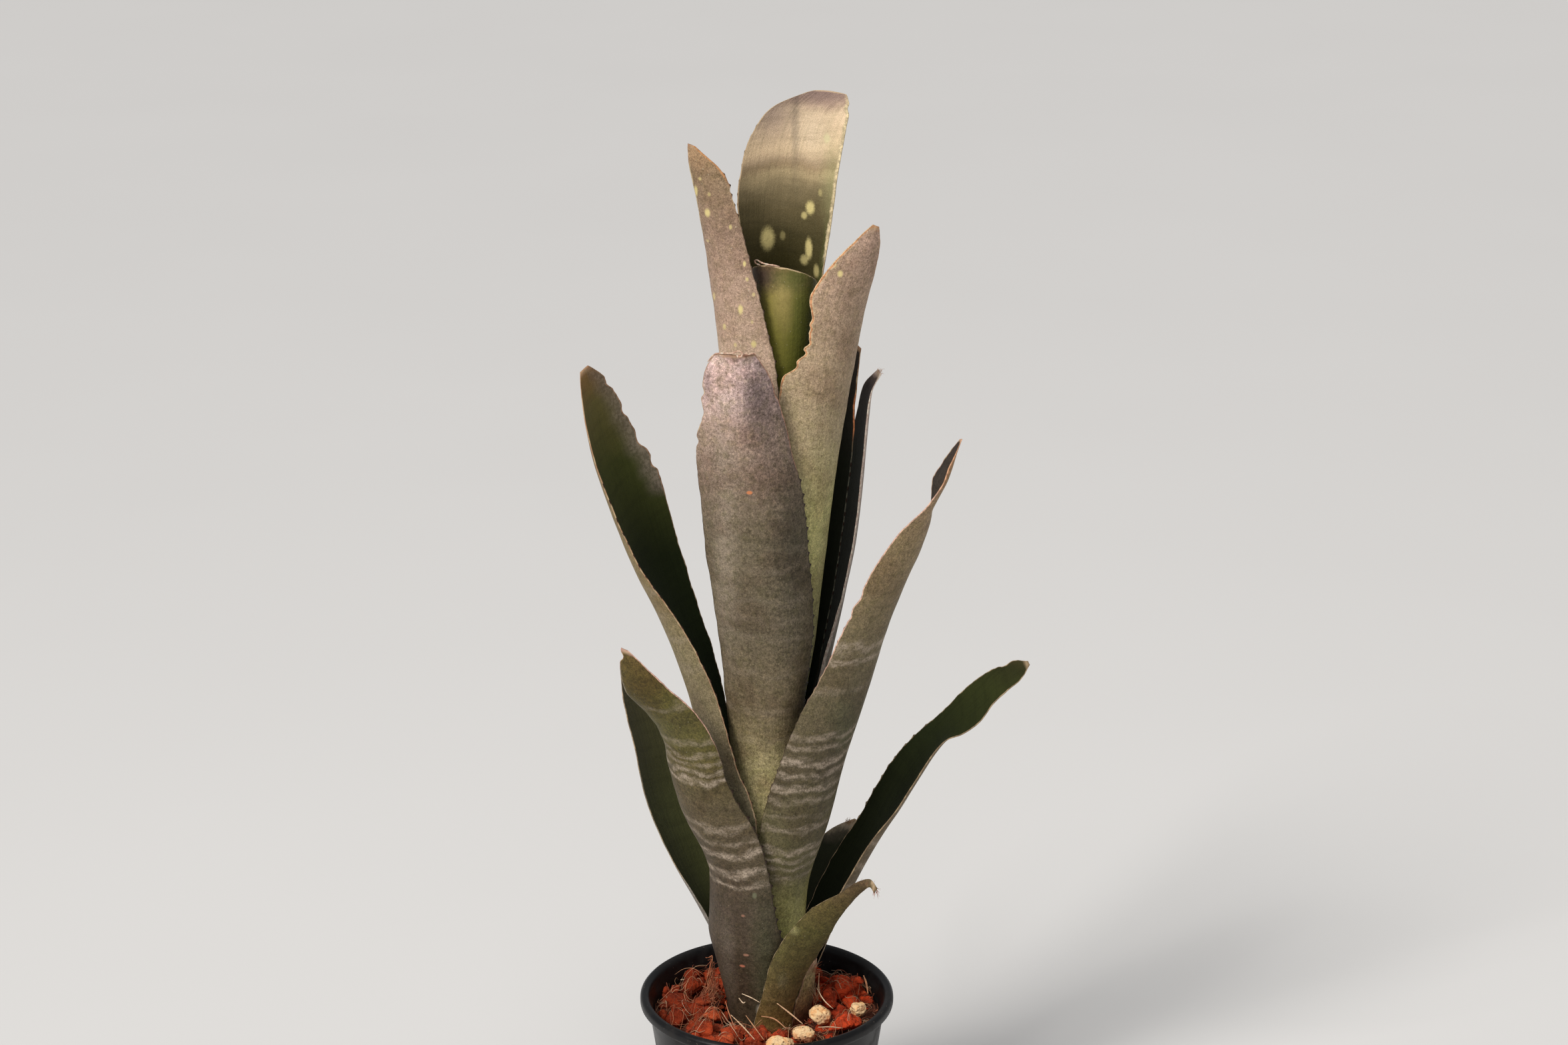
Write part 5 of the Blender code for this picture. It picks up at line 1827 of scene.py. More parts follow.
@dataclass(frozen=True)
class DriedEdge:
    """The brown to pale, papery dried edge of a leaf."""

    tones: Stops = ((0.3, (0.26, 0.12, 0.08)), (0.5, (0.55, 0.36, 0.26)), (0.7, (0.74, 0.62, 0.50)))
    roughness: float = 0.7
    gloss: float = 0.3

    def material(self) -> Material:
        """Make the finish.

        Returns:
            The material.
        """
        shader = Shader("dried_edge")
        tone = shader.noise(shader.place(), 0.6, 3.0)
        colour = shader.ramp(tone, self.tones)
        relief = shader.bump(tone * 0.3, 0.5)
        return shader.surface(colour, self.roughness, relief, Specular_IOR_Level=self.gloss)


@dataclass(frozen=True)
class WoodyStem:
    """The dry, woody stem with its grain along it."""

    tones: Stops = ((0.3, (0.16, 0.11, 0.06)), (0.7, (0.42, 0.34, 0.22)))
    roughness: float = 0.85

    def material(self) -> Material:
        """Make the finish.

        Returns:
            The material.
        """
        shader = Shader("woody_stem")
        x, y, z = shader.split(shader.place())
        grain = shader.noise(shader.join(x, y, z * 0.2), 0.9, 3.0)
        return shader.surface(shader.ramp(grain, self.tones), self.roughness, shader.bump(grain, 0.6))


@dataclass(frozen=True)
class PaleFloor:
    """The plain pale floor of the studio, faintly mottled."""

    tone: float = 0.78
    tints: tuple[Colour, Colour] = ((1.0, 0.985, 0.965), (0.97, 0.955, 0.935))
    roughness: float = 0.8
    gloss: float = 0.2

    def material(self) -> Material:
        """Make the finish.

        Returns:
            The material.
        """
        shader = Shader("pale_floor")
        mottle = shader.noise(shader.place(), 0.004)
        pale, grey = (tuple(self.tone * share for share in tint) for tint in self.tints)
        return shader.surface(shader.mix(pale, grey, mottle), self.roughness, Specular_IOR_Level=self.gloss)


@dataclass
class NurseryPot:
    """The black pot: a tapered wall, a rolled lip and drainage holes in a flat floor."""

    rim_radius: float = 50.0
    rim_top: float = 89.0
    lip_inner_radius: float = 46.2
    lip_depth: float = 4.6
    lip_inside: tuple[Span, ...] = ((-0.6, -4.6), (0.0, -1.6), (0.7, -0.4), (1.8, 0.0))
    lip_outside: tuple[Span, ...] = ((-1.1, 0.0), (0.0, -1.0), (0.0, -3.6), (-0.6, -4.2))
    base_radius: float = 34.0
    wall: float = 1.4
    floor: float = 1.8
    wall_top_radius: float = 46.0
    corner: float = 0.9
    corner_share: float = 0.45
    steps: int = 160
    drain_radius: float = 4.0
    drain_circle: float = 22.0
    drain_count: int = 4
    finish: BlackPlastic = BlackPlastic()

    def wall_radius(self, height: float) -> float:
        """Outer radius of the tapered wall."""
        gain = self.wall_top_radius + self.wall - self.base_radius
        return self.base_radius + gain * height / self.rim_top

    def profile(self) -> list[Span]:
        """The closed outline that is turned, with its corners rounded.

        Returns:
            Radii and heights, from the middle of the floor to the middle of the foot.
        """
        low, top = self.rim_top - self.lip_depth, self.rim_top
        line = [(self.wall_radius(height) - self.wall, height) for height in (self.floor, low - 2)]
        line += [(self.lip_inner_radius + out, top + rise) for out, rise in self.lip_inside]
        line += [(self.rim_radius + out, top + rise) for out, rise in self.lip_outside]
        line += [(self.wall_radius(low) + 0.5, low), (self.wall_radius(low - 1.5), low - 1.5)]
        line += [(self.wall_radius(2.0), 2.0), (self.base_radius - 0.4, 0.5), (self.base_radius - 1.2, 0.0)]
        rounded = [line[0]]
        for k in range(1, len(line) - 1):
            before, here, after = (Vector(line[j]) for j in (k - 1, k, k + 1))
            first, last = (
                here.lerp(end, min(self.corner_share, self.corner / max((end - here).length, 0.1)))
                for end in (before, after)
            )
            for share in (0.0, 0.34, 0.66, 1.0):
                rounded.append(tuple(first.lerp(here, share).lerp(here.lerp(last, share), share)))
        rounded.append(line[-1])
        return [(0.0, self.floor)] + rounded + [(0.0, 0.0)]

    def drill(self, k: int) -> Object:
        """A cylinder that cuts one drainage hole.

        Args:
            k: Number of the hole.

        Returns:
            The cylinder.
        """
        angle = 2 * math.pi * (k + 0.5) / self.drain_count
        place = Vector((self.drain_circle * math.cos(angle), self.drain_circle * math.sin(angle), 1.0)) * MM
        bm = bmesh.new()
        bmesh.ops.create_cone(
            bm, cap_ends=True, segments=32, radius1=self.drain_radius * MM, radius2=self.drain_radius * MM,
            depth=8 * MM, matrix=Matrix.Translation(place),
        )
        return link("drain", mesh_of("drain", bm))

    def build(self) -> None:
        """Turn the wall and cut the drainage holes."""
        bm = bmesh.new()
        verts = [bm.verts.new((radius * MM, 0.0, height * MM)) for radius, height in self.profile()]
        for first, second in zip(verts, verts[1:]):
            bm.edges.new((first, second))
        outline = link("pot_outline", mesh_of("pot_outline", bm))
        screw = outline.modifiers.new("Turn", "SCREW")
        screw.steps = screw.render_steps = self.steps
        screw.use_merge_vertices = True
        screw.merge_threshold = 0.00001
        helpers = [outline]
        for k in range(self.drain_count):
            helpers.append(self.drill(k))
            cut = outline.modifiers.new("Drain", "BOOLEAN")
            cut.operation, cut.solver, cut.object = "DIFFERENCE", "EXACT", helpers[-1]
        graph = bpy.context.evaluated_depsgraph_get()
        turned = bpy.data.meshes.new_from_object(outline.evaluated_get(graph))
        for helper in helpers:
            bpy.data.objects.remove(helper)
        turned.shade_smooth()
        turned.materials.clear()
        turned.materials.append(self.finish.material())
        pot = link("nursery_pot", turned)
        edges = pot.modifiers.new("Edges", "EDGE_SPLIT")
        edges.split_angle = math.radians(50.0)
        settle_in(pot, "pot_plastic", "pot")


@dataclass(frozen=True)
class Skin:
    """The uneven skin of a lump: heights of its swells, ripples and grain, and how dense its pits are."""

    swells: float
    ripples: float
    grain: float
    pits: float
    worn: float = 0.0
    pit_level: float = 0.2
    pit_depth: float = 1.2

    def roughen(self, points: np.ndarray, dirs: np.ndarray, shifts: Sequence[Vector]) -> None:
        """Move the points of a lump in and out.

        Args:
            points: The points, which are moved.
            dirs: Direction of each point.
            shifts: Places of the noises of the swells, the ripples and the pits.
        """
        for k, point in enumerate(points):
            spot = Vector(point)
            rough = self.swells * noise.noise(spot * 0.4 + shifts[0])
            rough += self.ripples * noise.noise(spot + shifts[1])
            rough += self.grain * noise.noise(spot * 2.4)
            pits = max(0.0, noise.noise(spot * self.pits + shifts[2]) - self.pit_level)
            points[k] += dirs[k] * (rough - self.pit_depth * pits - self.worn)


def sphere(subdivisions: int) -> tuple[np.ndarray, Faces]:
    """Directions and faces of an even sphere.

    Args:
        subdivisions: How often its faces are split.

    Returns:
        One direction for each point, and the faces.
    """
    bm = bmesh.new()
    bmesh.ops.create_icosphere(bm, subdivisions=subdivisions, radius=1.0)
    dirs = np.array([vert.co.normalized() for vert in bm.verts])
    faces = [tuple(vert.index for vert in face.verts) for face in bm.faces]
    bm.free()
    return dirs, faces


@dataclass(frozen=True)
class Stone:
    """A cream stone: where it lies, its sizes, how it is turned, and how it broke and wore."""

    name: str
    place: Point
    size: Point
    turn: float
    seed: int
    corners: int
    wear: float
    cut_depth: Span = (0.80, 1.02)
    core: float = 0.7
    longest: float = 1.12
    skin: Skin = Skin(0.35, 0.22, 0.12, 0.7, 0.15)

    def build(self, finish: Material, dirs: np.ndarray, faces: Faces) -> None:
        """Build the stone: a broken lump with worn edges and pits.

        Args:
            finish: Its material.
            dirs: Directions of an even sphere.
            faces: Faces of the sphere.
        """
        rng = random.Random(self.seed)
        cuts = [Vector([rng.gauss(0.0, 1.0) for _ in range(3)]).normalized() for _ in range(self.corners)]
        depths = np.array([rng.uniform(*self.cut_depth) for _ in cuts])
        pull = np.clip(dirs @ np.array(cuts).T / depths, 0.0, None)
        reach = 1.0 / (np.sum(pull**self.wear, axis=1) + self.core**self.wear) ** (1.0 / self.wear)
        points = dirs * np.minimum(reach, self.longest)[:, None]
        points = points / np.max(np.abs(points), axis=0) * np.array(self.size) / 2
        shift = Vector((self.place[0], self.place[1], 7.0))
        self.skin.roughen(points, dirs, (shift, shift, -shift))
        rot = np.array(Matrix.Rotation(math.radians(self.turn), 3, "Z"))
        points = points @ rot.T + np.array(self.place)
        settle_in(smooth_object(self.name + "_pebble", points, faces, finish), "cream_stone", self.name)


@dataclass
class PottingMix:
    """The bed of brick chips around the plant, with the stones on it."""

    pot: NurseryPot
    brick: BrickChips = BrickChips()
    mould: CoirMix = CoirMix()
    cream: CreamStone = CreamStone()
    bed_top: float = 80.5
    bed_steps: int = 96
    bed_swells: Span = (0.22, 1.3)
    bed_grain: Span = (0.8, 0.7)
    bed_sunk: float = 0.7
    hole_radius: float = 19.8
    hole_floor: float = 50.0
    fit_gap: float = 0.3
    skin_gap: float = 0.15
    chip_skin: Skin = Skin(0.6, 0.45, 0.2, 0.8)
    chip_count: int = 32
    chip_long: Span = (10.0, 15.0)
    chip_wide: Span = (9.0, 12.5)
    chip_thick: Span = (7.5, 10.5)
    chip_detail: tuple[tuple[float, int], ...] = ((5.5, 4), (2.6, 3), (0.0, 2))
    chip_points: int = 16
    chip_pull: Span = (0.86, 1.0)
    chip_edges: int = 22
    chip_tilt: float = 0.5
    chip_seed: int = 11
    chip_from: float = 4.2
    chip_to: float = 38.6
    chip_stray: float = 0.12
    chip_rise: Span = (-0.6, 1.6)
    sink: float = 3.0
    sink_reach: float = 5.0
    great_size: float = 15.5
    great_detail: int = 5
    great_seed: int = 5
    great_tilt: float = 0.25
    crumb_seed: int = 23
    crumb_count: int = 360
    crumb_gap: float = 1.8
    crumb_size: Span = (1.4, 4.6)
    crumb_tilt: float = 0.6
    crumb_lift: float = 0.12
    middling_size: Span = (5.5, 9.5)
    foot_ring: Span = (-5.0, 1.0)
    foot_room: float = 6.0
    drop_height: float = 120.0
    stones: tuple[Stone, ...] = (
        Stone("stone_a", (20.8, -14.2, 85.2), (9.2, 8.6, 8.4), 20.0, 5, 7, 14.0),
        Stone("stone_b", (35.8, -8.4, 85.2), (7.2, 7.0, 6.6), 65.0, 8, 9, 10.0),
        Stone("stone_c", (14.6, -26.4, 83.0), (10.0, 7.6, 6.8), -15.0, 3, 7, 18.0),
        Stone("stone_d", (5.2, -35.0, 83.0), (11.5, 8.4, 7.4), 10.0, 12, 12, 9.0),
    )
    great_chips: tuple[tuple[Point, Point, float, float], ...] = (
        ((30.5, -20, 84), (18, 13, 9.5), 40, 0.5), ((29.5, 8.5, 85.5), (17, 14.5, 12.5), 60, 0.1),
        ((-35, 1.5, 84.2), (13, 11, 10), 80, 0.2), ((-28.5, 9.5, 85.5), (13, 10, 10), 30, 0.35),
        ((-22.5, -22.5, 83), (15, 10.5, 8.5), -40, 0.3), ((-10.8, -23, 82.4), (12, 8, 7), -50, 0.9),
        ((24.6, -1.5, 85.6), (10, 8, 11.5), 90, 0.6), ((-21.2, -11.5, 83.4), (9.5, 8, 7), 10, 0.95),
        ((-35, -11.5, 83), (12, 9, 7.5), 108, 0.05), ((-15.5, -31, 83), (8.5, 6, 5.5), 0, 1),
    )

    def inside(self) -> float:
        """Inner radius of the pot's wall at the top of the bed."""
        return self.pot.wall_radius(self.bed_top) - self.pot.wall

    def lump(self, rng: random.Random, size: Sequence[float]) -> tuple[np.ndarray, Faces]:
        """A broken lump: the rounded hull of scattered points, roughened.

        Args:
            rng: Source of chance.
            size: Length, width and thickness.

        Returns:
            Points and faces around the origin.
        """
        bm = bmesh.new()
        for _ in range(self.chip_points):
            direction = Vector([rng.gauss(0.0, 1.0) for _ in range(3)]).normalized()
            scale = rng.uniform(*self.chip_pull)
            bm.verts.new([direction[k] * size[k] * 0.5 * scale for k in range(3)])
        bmesh.ops.convex_hull(bm, input=bm.verts)
        bm.normal_update()
        sides = [face for face in bm.faces if face.calc_area() > 1e-6]
        planes = np.array([[*face.normal, face.normal.dot(face.verts[0].co)] for face in sides])
        bm.free()
        planes = planes[planes[:, 3] > 0.3]
        detail = next(detail for least, detail in self.chip_detail if min(size) > least)
        dirs, faces = sphere(self.great_detail if max(size) > self.great_size else detail)
        pull = np.clip(dirs @ planes[:, :3].T / planes[:, 3], 0.0, None)
        reach = 1.0 / np.sum(pull**self.chip_edges, axis=1) ** (1 / self.chip_edges)
        points = dirs * reach[:, None]
        seed = rng.uniform(0.0, 99.0)
        shifts = [Vector(shift) for shift in ((seed, 0, 0), (0, seed, 0), (seed, seed, 0))]
        self.chip_skin.roughen(points, dirs, shifts)
        return points, faces

    def clear_of_stones(self, points: np.ndarray) -> np.ndarray:
        """Move points that lie inside a stone out to a little beyond its skin.

        Args:
            points: The points.

        Returns:
            The points, with those inside a stone moved.
        """
        for stone in self.stones:
            cos, sin = math.cos(math.radians(stone.turn)), math.sin(math.radians(stone.turn))
            rot = np.array([[cos, -sin, 0], [sin, cos, 0], [0, 0, 1]])
            local = (points - np.array(stone.place)) @ rot
            level = np.linalg.norm(local / (np.array(stone.size) / 2 + self.fit_gap), axis=1)
            inside = (level < 1.0) & (level > 0.0)
            local[inside] /= level[inside][:, None]
            points = np.where(inside[:, None], local @ rot.T + np.array(stone.place), points)
        return points

    def under_stone(self, x: float, y: float, reach: float) -> bool:
        """Whether a lump of this reach would cover a stone."""
        found = ((stone.place, stone.size[1] / 2 + reach) for stone in self.stones)
        return any(math.hypot(x - at[0], y - at[1]) < near for at, near in found)

    def under_great_chip(self, x: float, y: float) -> bool:
        """Whether a crumb here would lie on one of the largest chips."""
        return any(math.hypot(x - at[0], y - at[1]) < size[1] / 2 for at, size, _, _ in self.great_chips)

    def lump_like(self, rng: random.Random, size: Sequence[float]) -> tuple[np.ndarray, Faces]:
        """A lump that draws only its hull from the shared chance, so the chips match the solids.

        Args:
            rng: Source of chance that the solids share.
            size: Length, width and thickness.

        Returns:
            Points and faces around the origin.
        """
        draws = random.Random()
        draws.setstate(rng.getstate())
        result = self.lump(draws, size)
        for _ in range(self.chip_points):
            for _ in range(3):
                rng.gauss(0.0, 1.0)
            rng.uniform(*self.chip_pull)
        return result

    def chips(self) -> Pile:
        """The large chips of the solids, in the same places, with rough faces.

        Returns:
            The chips as a pile.
        """
        pile = Pile()
        rng = random.Random(self.chip_seed)
        inner, outer = self.hole_radius + self.chip_from, self.chip_to
        golden = math.pi * (3.0 - math.sqrt(5.0))
        edge = self.inside() - self.fit_gap - self.skin_gap
        for k in range(self.chip_count):
            radius = math.sqrt(inner**2 + (outer**2 - inner**2) * (k + 0.5) / self.chip_count)
            angle = golden * k + rng.uniform(-self.chip_stray, self.chip_stray)
            x, y = radius * math.cos(angle), radius * math.sin(angle)
            size = [rng.uniform(*sides) for sides in (self.chip_long, self.chip_wide, self.chip_thick)]
            room = 2 * min(radius - self.hole_radius + 0.2, edge - 0.1 - radius)
            points, faces = self.lump_like(rng, [min(side, room) for side in size])
            turn = Matrix.Rotation(rng.uniform(0.0, math.pi), 4, "Z")
            turn @= Matrix.Rotation(rng.uniform(-self.chip_tilt, self.chip_tilt), 4, "X")
            sunk = self.sink if self.under_stone(x, y, self.sink_reach) else 0.0
            place = Matrix.Translation((x, y, self.bed_top + rng.uniform(*self.chip_rise) - sunk)) @ turn
            points = points @ np.array(place.to_3x3()).T + np.array(place.translation)
            pile.add(self.clear_of_stones(points).tolist(), faces, random.Random(k * 7 + 1).random())
        return pile

    def lay_great_chips(self, pile: Pile) -> None:
        """Lay the largest chips on the others, inside the pot's wall.

        Args:
            pile: The pile of chips.
        """
        rng = random.Random(self.great_seed)
        edge = self.inside() - self.fit_gap - 2 * self.skin_gap
        for place, size, turn, lot in self.great_chips:
            points, faces = self.lump(rng, size)
            tilt = Matrix.Rotation(rng.uniform(-self.great_tilt, self.great_tilt), 3, "X")
            points = points @ np.array(Matrix.Rotation(math.radians(turn), 3, "Z") @ tilt).T + np.array(place)
            reach = np.hypot(points[:, 0], points[:, 1])
            points[:, :2] *= np.minimum(1.0, edge / reach)[:, None]
            pile.add(self.clear_of_stones(points).tolist(), faces, lot)

    def body(self) -> Pile:
        """The mix under the chips: a ring with a blind hole and a lumpy top.

        Returns:
            The mix as a pile of one solid.
        """
        low = self.pot.floor + self.fit_gap
        gap = self.pot.wall + self.fit_gap + self.skin_gap
        edge = self.pot.wall_radius(self.bed_top) - gap
        line = [(0.0, self.hole_floor), (self.hole_radius, self.hole_floor)]
        line += [(self.hole_radius, height) for height in np.linspace(60.0, self.bed_top - 1.0, 6)]
        line += [(radius, self.bed_top) for radius in np.linspace(self.hole_radius + 1.2, edge - 1.2, 22)]
        line += [(edge, self.bed_top - 1.4), (self.pot.wall_radius(low) - gap, low), (0.0, low)]
        steps, verts, faces, rings = self.bed_steps, [], [], []
        for radius, height in line:
            if radius == 0.0:
                rings.append([len(verts)] * steps)
                verts.append((0.0, 0.0, height))
                continue
            rings.append(list(range(len(verts), len(verts) + steps)))
            for k in range(steps):
                angle = 2 * math.pi * k / steps
                x, y = radius * math.cos(angle), radius * math.sin(angle)
                rise = 0.0
                if height == self.bed_top:
                    for seed, (scale, tall) in ((3.0, self.bed_swells), (8.0, self.bed_grain)):
                        rise += soft_noise(x * scale, y * scale, seed) * tall
                    rise -= self.bed_sunk
                verts.append((x, y, height + rise))
        for first, second in zip(rings, rings[1:]):
            for k in range(steps):
                ring = (first[k], second[k], second[(k + 1) % steps], first[(k + 1) % steps])
                faces.append(tuple(dict.fromkeys(ring)))
        return Pile(verts, faces)

    def crumbs(self, ground: BVHTree) -> Pile:
        """Smaller chips and crumbs that lie on and between the large ones, and around the plant's foot.

        Args:
            ground: The bed that they fall on.

        Returns:
            The crumbs as a pile.
        """
        pile = Pile()
        rng = random.Random(self.crumb_seed)
        edge = self.inside() - self.crumb_gap
        placed = 0
        while placed < self.crumb_count:
            middling = placed % 3 == 0
            at_foot = placed % 6 in (1, 2, 4)
            radius = math.sqrt(rng.uniform((self.hole_radius + 1.6) ** 2, (edge - 0.5) ** 2))
            angle = rng.uniform(0.0, 2 * math.pi)
            size = rng.uniform(*(self.middling_size if middling else self.crumb_size))
            room = 2 * min(radius - self.hole_radius + 0.2, edge + 0.6 - radius)
            if at_foot:
                radius = rng.uniform(*(self.hole_radius + out for out in self.foot_ring))
                room = self.foot_room
            sides = [size, size * rng.uniform(0.65, 0.95), size * rng.uniform(0.5, 0.85)]
            sides = [min(side, room) for side in sides]
            x, y = radius * math.cos(angle), radius * math.sin(angle)
            hit = ground.ray_cast(Vector((x, y, self.drop_height)), Vector((0, 0, -1)))[0]
            if hit is None or self.under_stone(x, y, size / 2) or self.under_great_chip(x, y):
                continue
            rest = np.array(hit)
            if at_foot:
                rest[2] = max(rest[2], self.bed_top - 2.0)
            points, faces = self.lump(rng, sides)
            turn = Matrix.Rotation(rng.uniform(0, 6.3), 3, "Z")
            turn @= Matrix.Rotation(rng.uniform(-self.crumb_tilt, self.crumb_tilt), 3, "X")
            points = points @ np.array(turn).T + rest + np.array([0.0, 0.0, sides[2] * self.crumb_lift])
            pile.add(self.clear_of_stones(points).tolist(), faces, rng.random())
            placed += 1
        return pile

    def build(self) -> None:
        """Build the bed, the stones and the fibres."""
        chips = self.chips()
        self.lay_great_chips(chips)
        body = self.body()
        crumbs = self.crumbs(ground_of(chips, body))
        finish = self.brick.material()
        chips.dress("brick_chip_bed", finish, "brick_chips", "bed")
        crumbs.dress("brick_crumbs", finish, "brick_chips")
        settle_in(smooth_object("coir_mix", body.verts, body.faces, self.mould.material()), "brick_chips")
        stone_finish = self.cream.material()
        dirs, faces = sphere(5)
        for stone in self.stones:
            stone.build(stone_finish, dirs, faces)
        Fibres(self, ground_of(chips, crumbs)).build()


@dataclass
class Fibres:
    """The loose strands on the bed, the roots at the plant's left foot and the straws."""

    mix: PottingMix
    ground: BVHTree
    finish: CoirFibre = CoirFibre()
    seed: int = 41
    wall_gap: float = 2.2
    loose_count: int = 260
    root_count: int = 46
    wisp_count: int = 18
    root_arc: Span = (-118.0, -62.0)
    root_foot: Span = (21.0, 29.0)
    root_rise: Span = (84.0, 103.0)
    root_lean: float = 0.08
    root_near: float = 19.6
    wisp_arc: Span = (-150.0, 60.0)
    wisp_reach: Span = (25.0, 35.0)
    straws: tuple[tuple[tuple[Point, ...], float, float], ...] = (
        (((-9.6, -17.6, 96.2), (-6, -19.2, 95.3), (-2.6, -20, 93.6)), 0.24, 0.95),
        (((-10.8, -16.9, 94), (-9.2, -17.8, 92.4), (-8.3, -18.4, 93)), 0.26, 0.95),
        (((3.8, -20.6, 93.8), (9, -23.5, 90.8), (14, -27.5, 88.2)), 0.34, 0.8),
        (((38.4, 8, 91.6), (39.4, 4, 90.2), (40, 0, 87.6)), 0.42, 0.6),
        (((20, -30, 88), (25, -31, 88.6), (29.5, -30, 87.6)), 0.22, 0.9),
        (((-36.5, 6, 93), (-33, 4, 96.4), (-29, 2, 97.6), (-25, -1, 96.4)), 0.08, 0.7),
        (((-34.5, 8, 84), (-32.5, 6, 92), (-28, 3, 98), (-23.5, 0, 100)), 0.08, 0.8),
        (((-13.8, -24.5, 90.5), (-9, -30.5, 88.4), (-4.5, -37, 86.2)), 0.30, 0.85),
        (((-8, -24, 90), (-5, -30, 88.6), (-1, -37.5, 86.4)), 0.24, 0.7),
        (((-2, -21.8, 88.6), (3, -24.5, 88.8), (7.5, -30, 87.6)), 0.30, 0.65),
        (((-16, -19, 93.5), (-14.6, -23, 90.6), (-12, -29, 86.5)), 0.24, 0.5),
        (((20.6, -6, 99.5), (20.4, -7.4, 94), (21.4, -9, 90.2)), 0.24, 0.85),
        (((19.6, -10, 95), (22.5, -14, 91.6), (26, -17, 89.4)), 0.22, 0.9),
    )

    def __post_init__(self) -> None:
        """Start the pile and the source of chance."""
        self.pile = Pile()
        self.rng = random.Random(self.seed)
        self.edge = self.mix.pot.lip_inner_radius - self.wall_gap

    def lie(self, x: float, y: float, lift: float) -> Point:
        """A point at a height above the bed, between the plant and the pot's wall.

        Args:
            x: Place to the right.
            y: Place to the back.
            lift: Height above the bed.

        Returns:
            The point.
        """
        radius = math.hypot(x, y)
        keep = min(max(radius, self.mix.hole_radius + 0.4), self.edge) / max(radius, 0.1)
        x, y = x * keep, y * keep
        hit = self.ground.ray_cast(Vector((x, y, self.mix.drop_height)), Vector((0, 0, -1)))[0]
        return (x, y, (hit.z if hit else self.mix.bed_top) + lift)

    def strand(self, points: Sequence[Point], radius: float, lot: float, sides: int = 4) -> None:
        """Add one strand, thinner at its ends.

        Args:
            points: Points on its way.
            radius: Radius at its middle.
            lot: Its number, which its colour follows.
            sides: Number of its sides.
        """
        path = smooth_path(points, max(8, 4 * len(points)))
        swell = np.sin(math.pi * np.clip(np.linspace(0.0, 1.0, len(path)), 0.12, 0.88))
        self.pile.add(*tube(path, radius * (0.4 + 0.6 * swell), sides), lot)

    def loose(self) -> None:
        """One loose strand that wanders over the bed."""
        rng = self.rng
        radius = math.sqrt(rng.uniform((self.mix.hole_radius + 1) ** 2, (self.edge - 1) ** 2))
        angle = rng.uniform(0.0, 2 * math.pi)
        heading = rng.uniform(0.0, 2 * math.pi)
        bend = rng.uniform(-0.7, 0.7)
        x, y = radius * math.cos(angle), radius * math.sin(angle)
        points, length = [], rng.uniform(2.0, 4.2)
        for step in range(rng.randint(4, 8)):
            arch = 1.8 if 0 < step < 4 else 0.0
            points.append(self.lie(x, y, rng.uniform(0.1, 0.7) + arch * rng.random()))
            heading += bend + rng.uniform(-0.5, 0.5)
            x += length * math.cos(heading)
            y += length * math.sin(heading)
        self.strand(points, rng.uniform(0.05, 0.13), rng.random() ** 1.3)

    def root(self) -> None:
        """One fine root that rises from the bed to the sheath at the left."""
        rng = self.rng
        angle = math.radians(rng.uniform(*self.root_arc))
        right = rng.uniform(*self.root_foot) * math.sin(angle)
        foot = self.lie(right, -rng.uniform(*self.root_foot) * math.cos(angle), 0.0)
        rise = rng.uniform(*self.root_rise)
        near = self.root_near + (rise - self.root_rise[0]) * self.root_lean + rng.uniform(0.3, 1.6)
        top = (near * math.sin(angle), -near * math.cos(angle), rise)
        mid = (top[0] * 1.05 + rng.uniform(-1.2, 0.6), top[1] + rng.uniform(-1.5, 1.5), (foot[2] + rise) / 2)
        hook = (rng.uniform(-3.0, -0.5), rng.uniform(-2.5, 1.5), rng.uniform(-3.0, 2.0))
        hook = tuple(at + move for at, move in zip(top, hook))
        self.strand([foot, mid, top, hook], rng.uniform(0.07, 0.20), rng.uniform(0.05, 0.6))

    def wisp(self) -> None:
        """One strand that leads from the plant's foot outwards over the bed."""
        rng = self.rng
        angle = math.radians(rng.uniform(*self.wisp_arc))
        out = rng.uniform(*self.wisp_reach)
        turn = angle + rng.uniform(-0.3, 0.3)
        way = ((19.9, angle, 0.2), (23.5, turn, 2.0), (out, turn + rng.uniform(-0.15, 0.15), 0.3))
        points = [self.lie(reach * math.sin(a), -reach * math.cos(a), lift) for reach, a, lift in way]
        self.strand(points, rng.uniform(0.08, 0.18), rng.uniform(0.2, 0.9))

    def build(self) -> None:
        """Build all the strands as one piece."""
        kinds = ((self.loose_count, self.loose), (self.root_count, self.root), (self.wisp_count, self.wisp))
        for count, add in kinds:
            for _ in range(count):
                add()
        for points, radius, lot in self.straws:
            self.strand(points, radius, lot, 6)
        self.pile.dress("coir_fibres", self.finish.material(), "dry_leaf")


@dataclass(frozen=True)
class Tuft:
    """A tuft of dry hairs: where they root, how far the roots spread, and where they point."""

    root: Point
    spread: Point
    aim: Point
    length: float
    count: int
    lot: float
    radius: float = 0.07


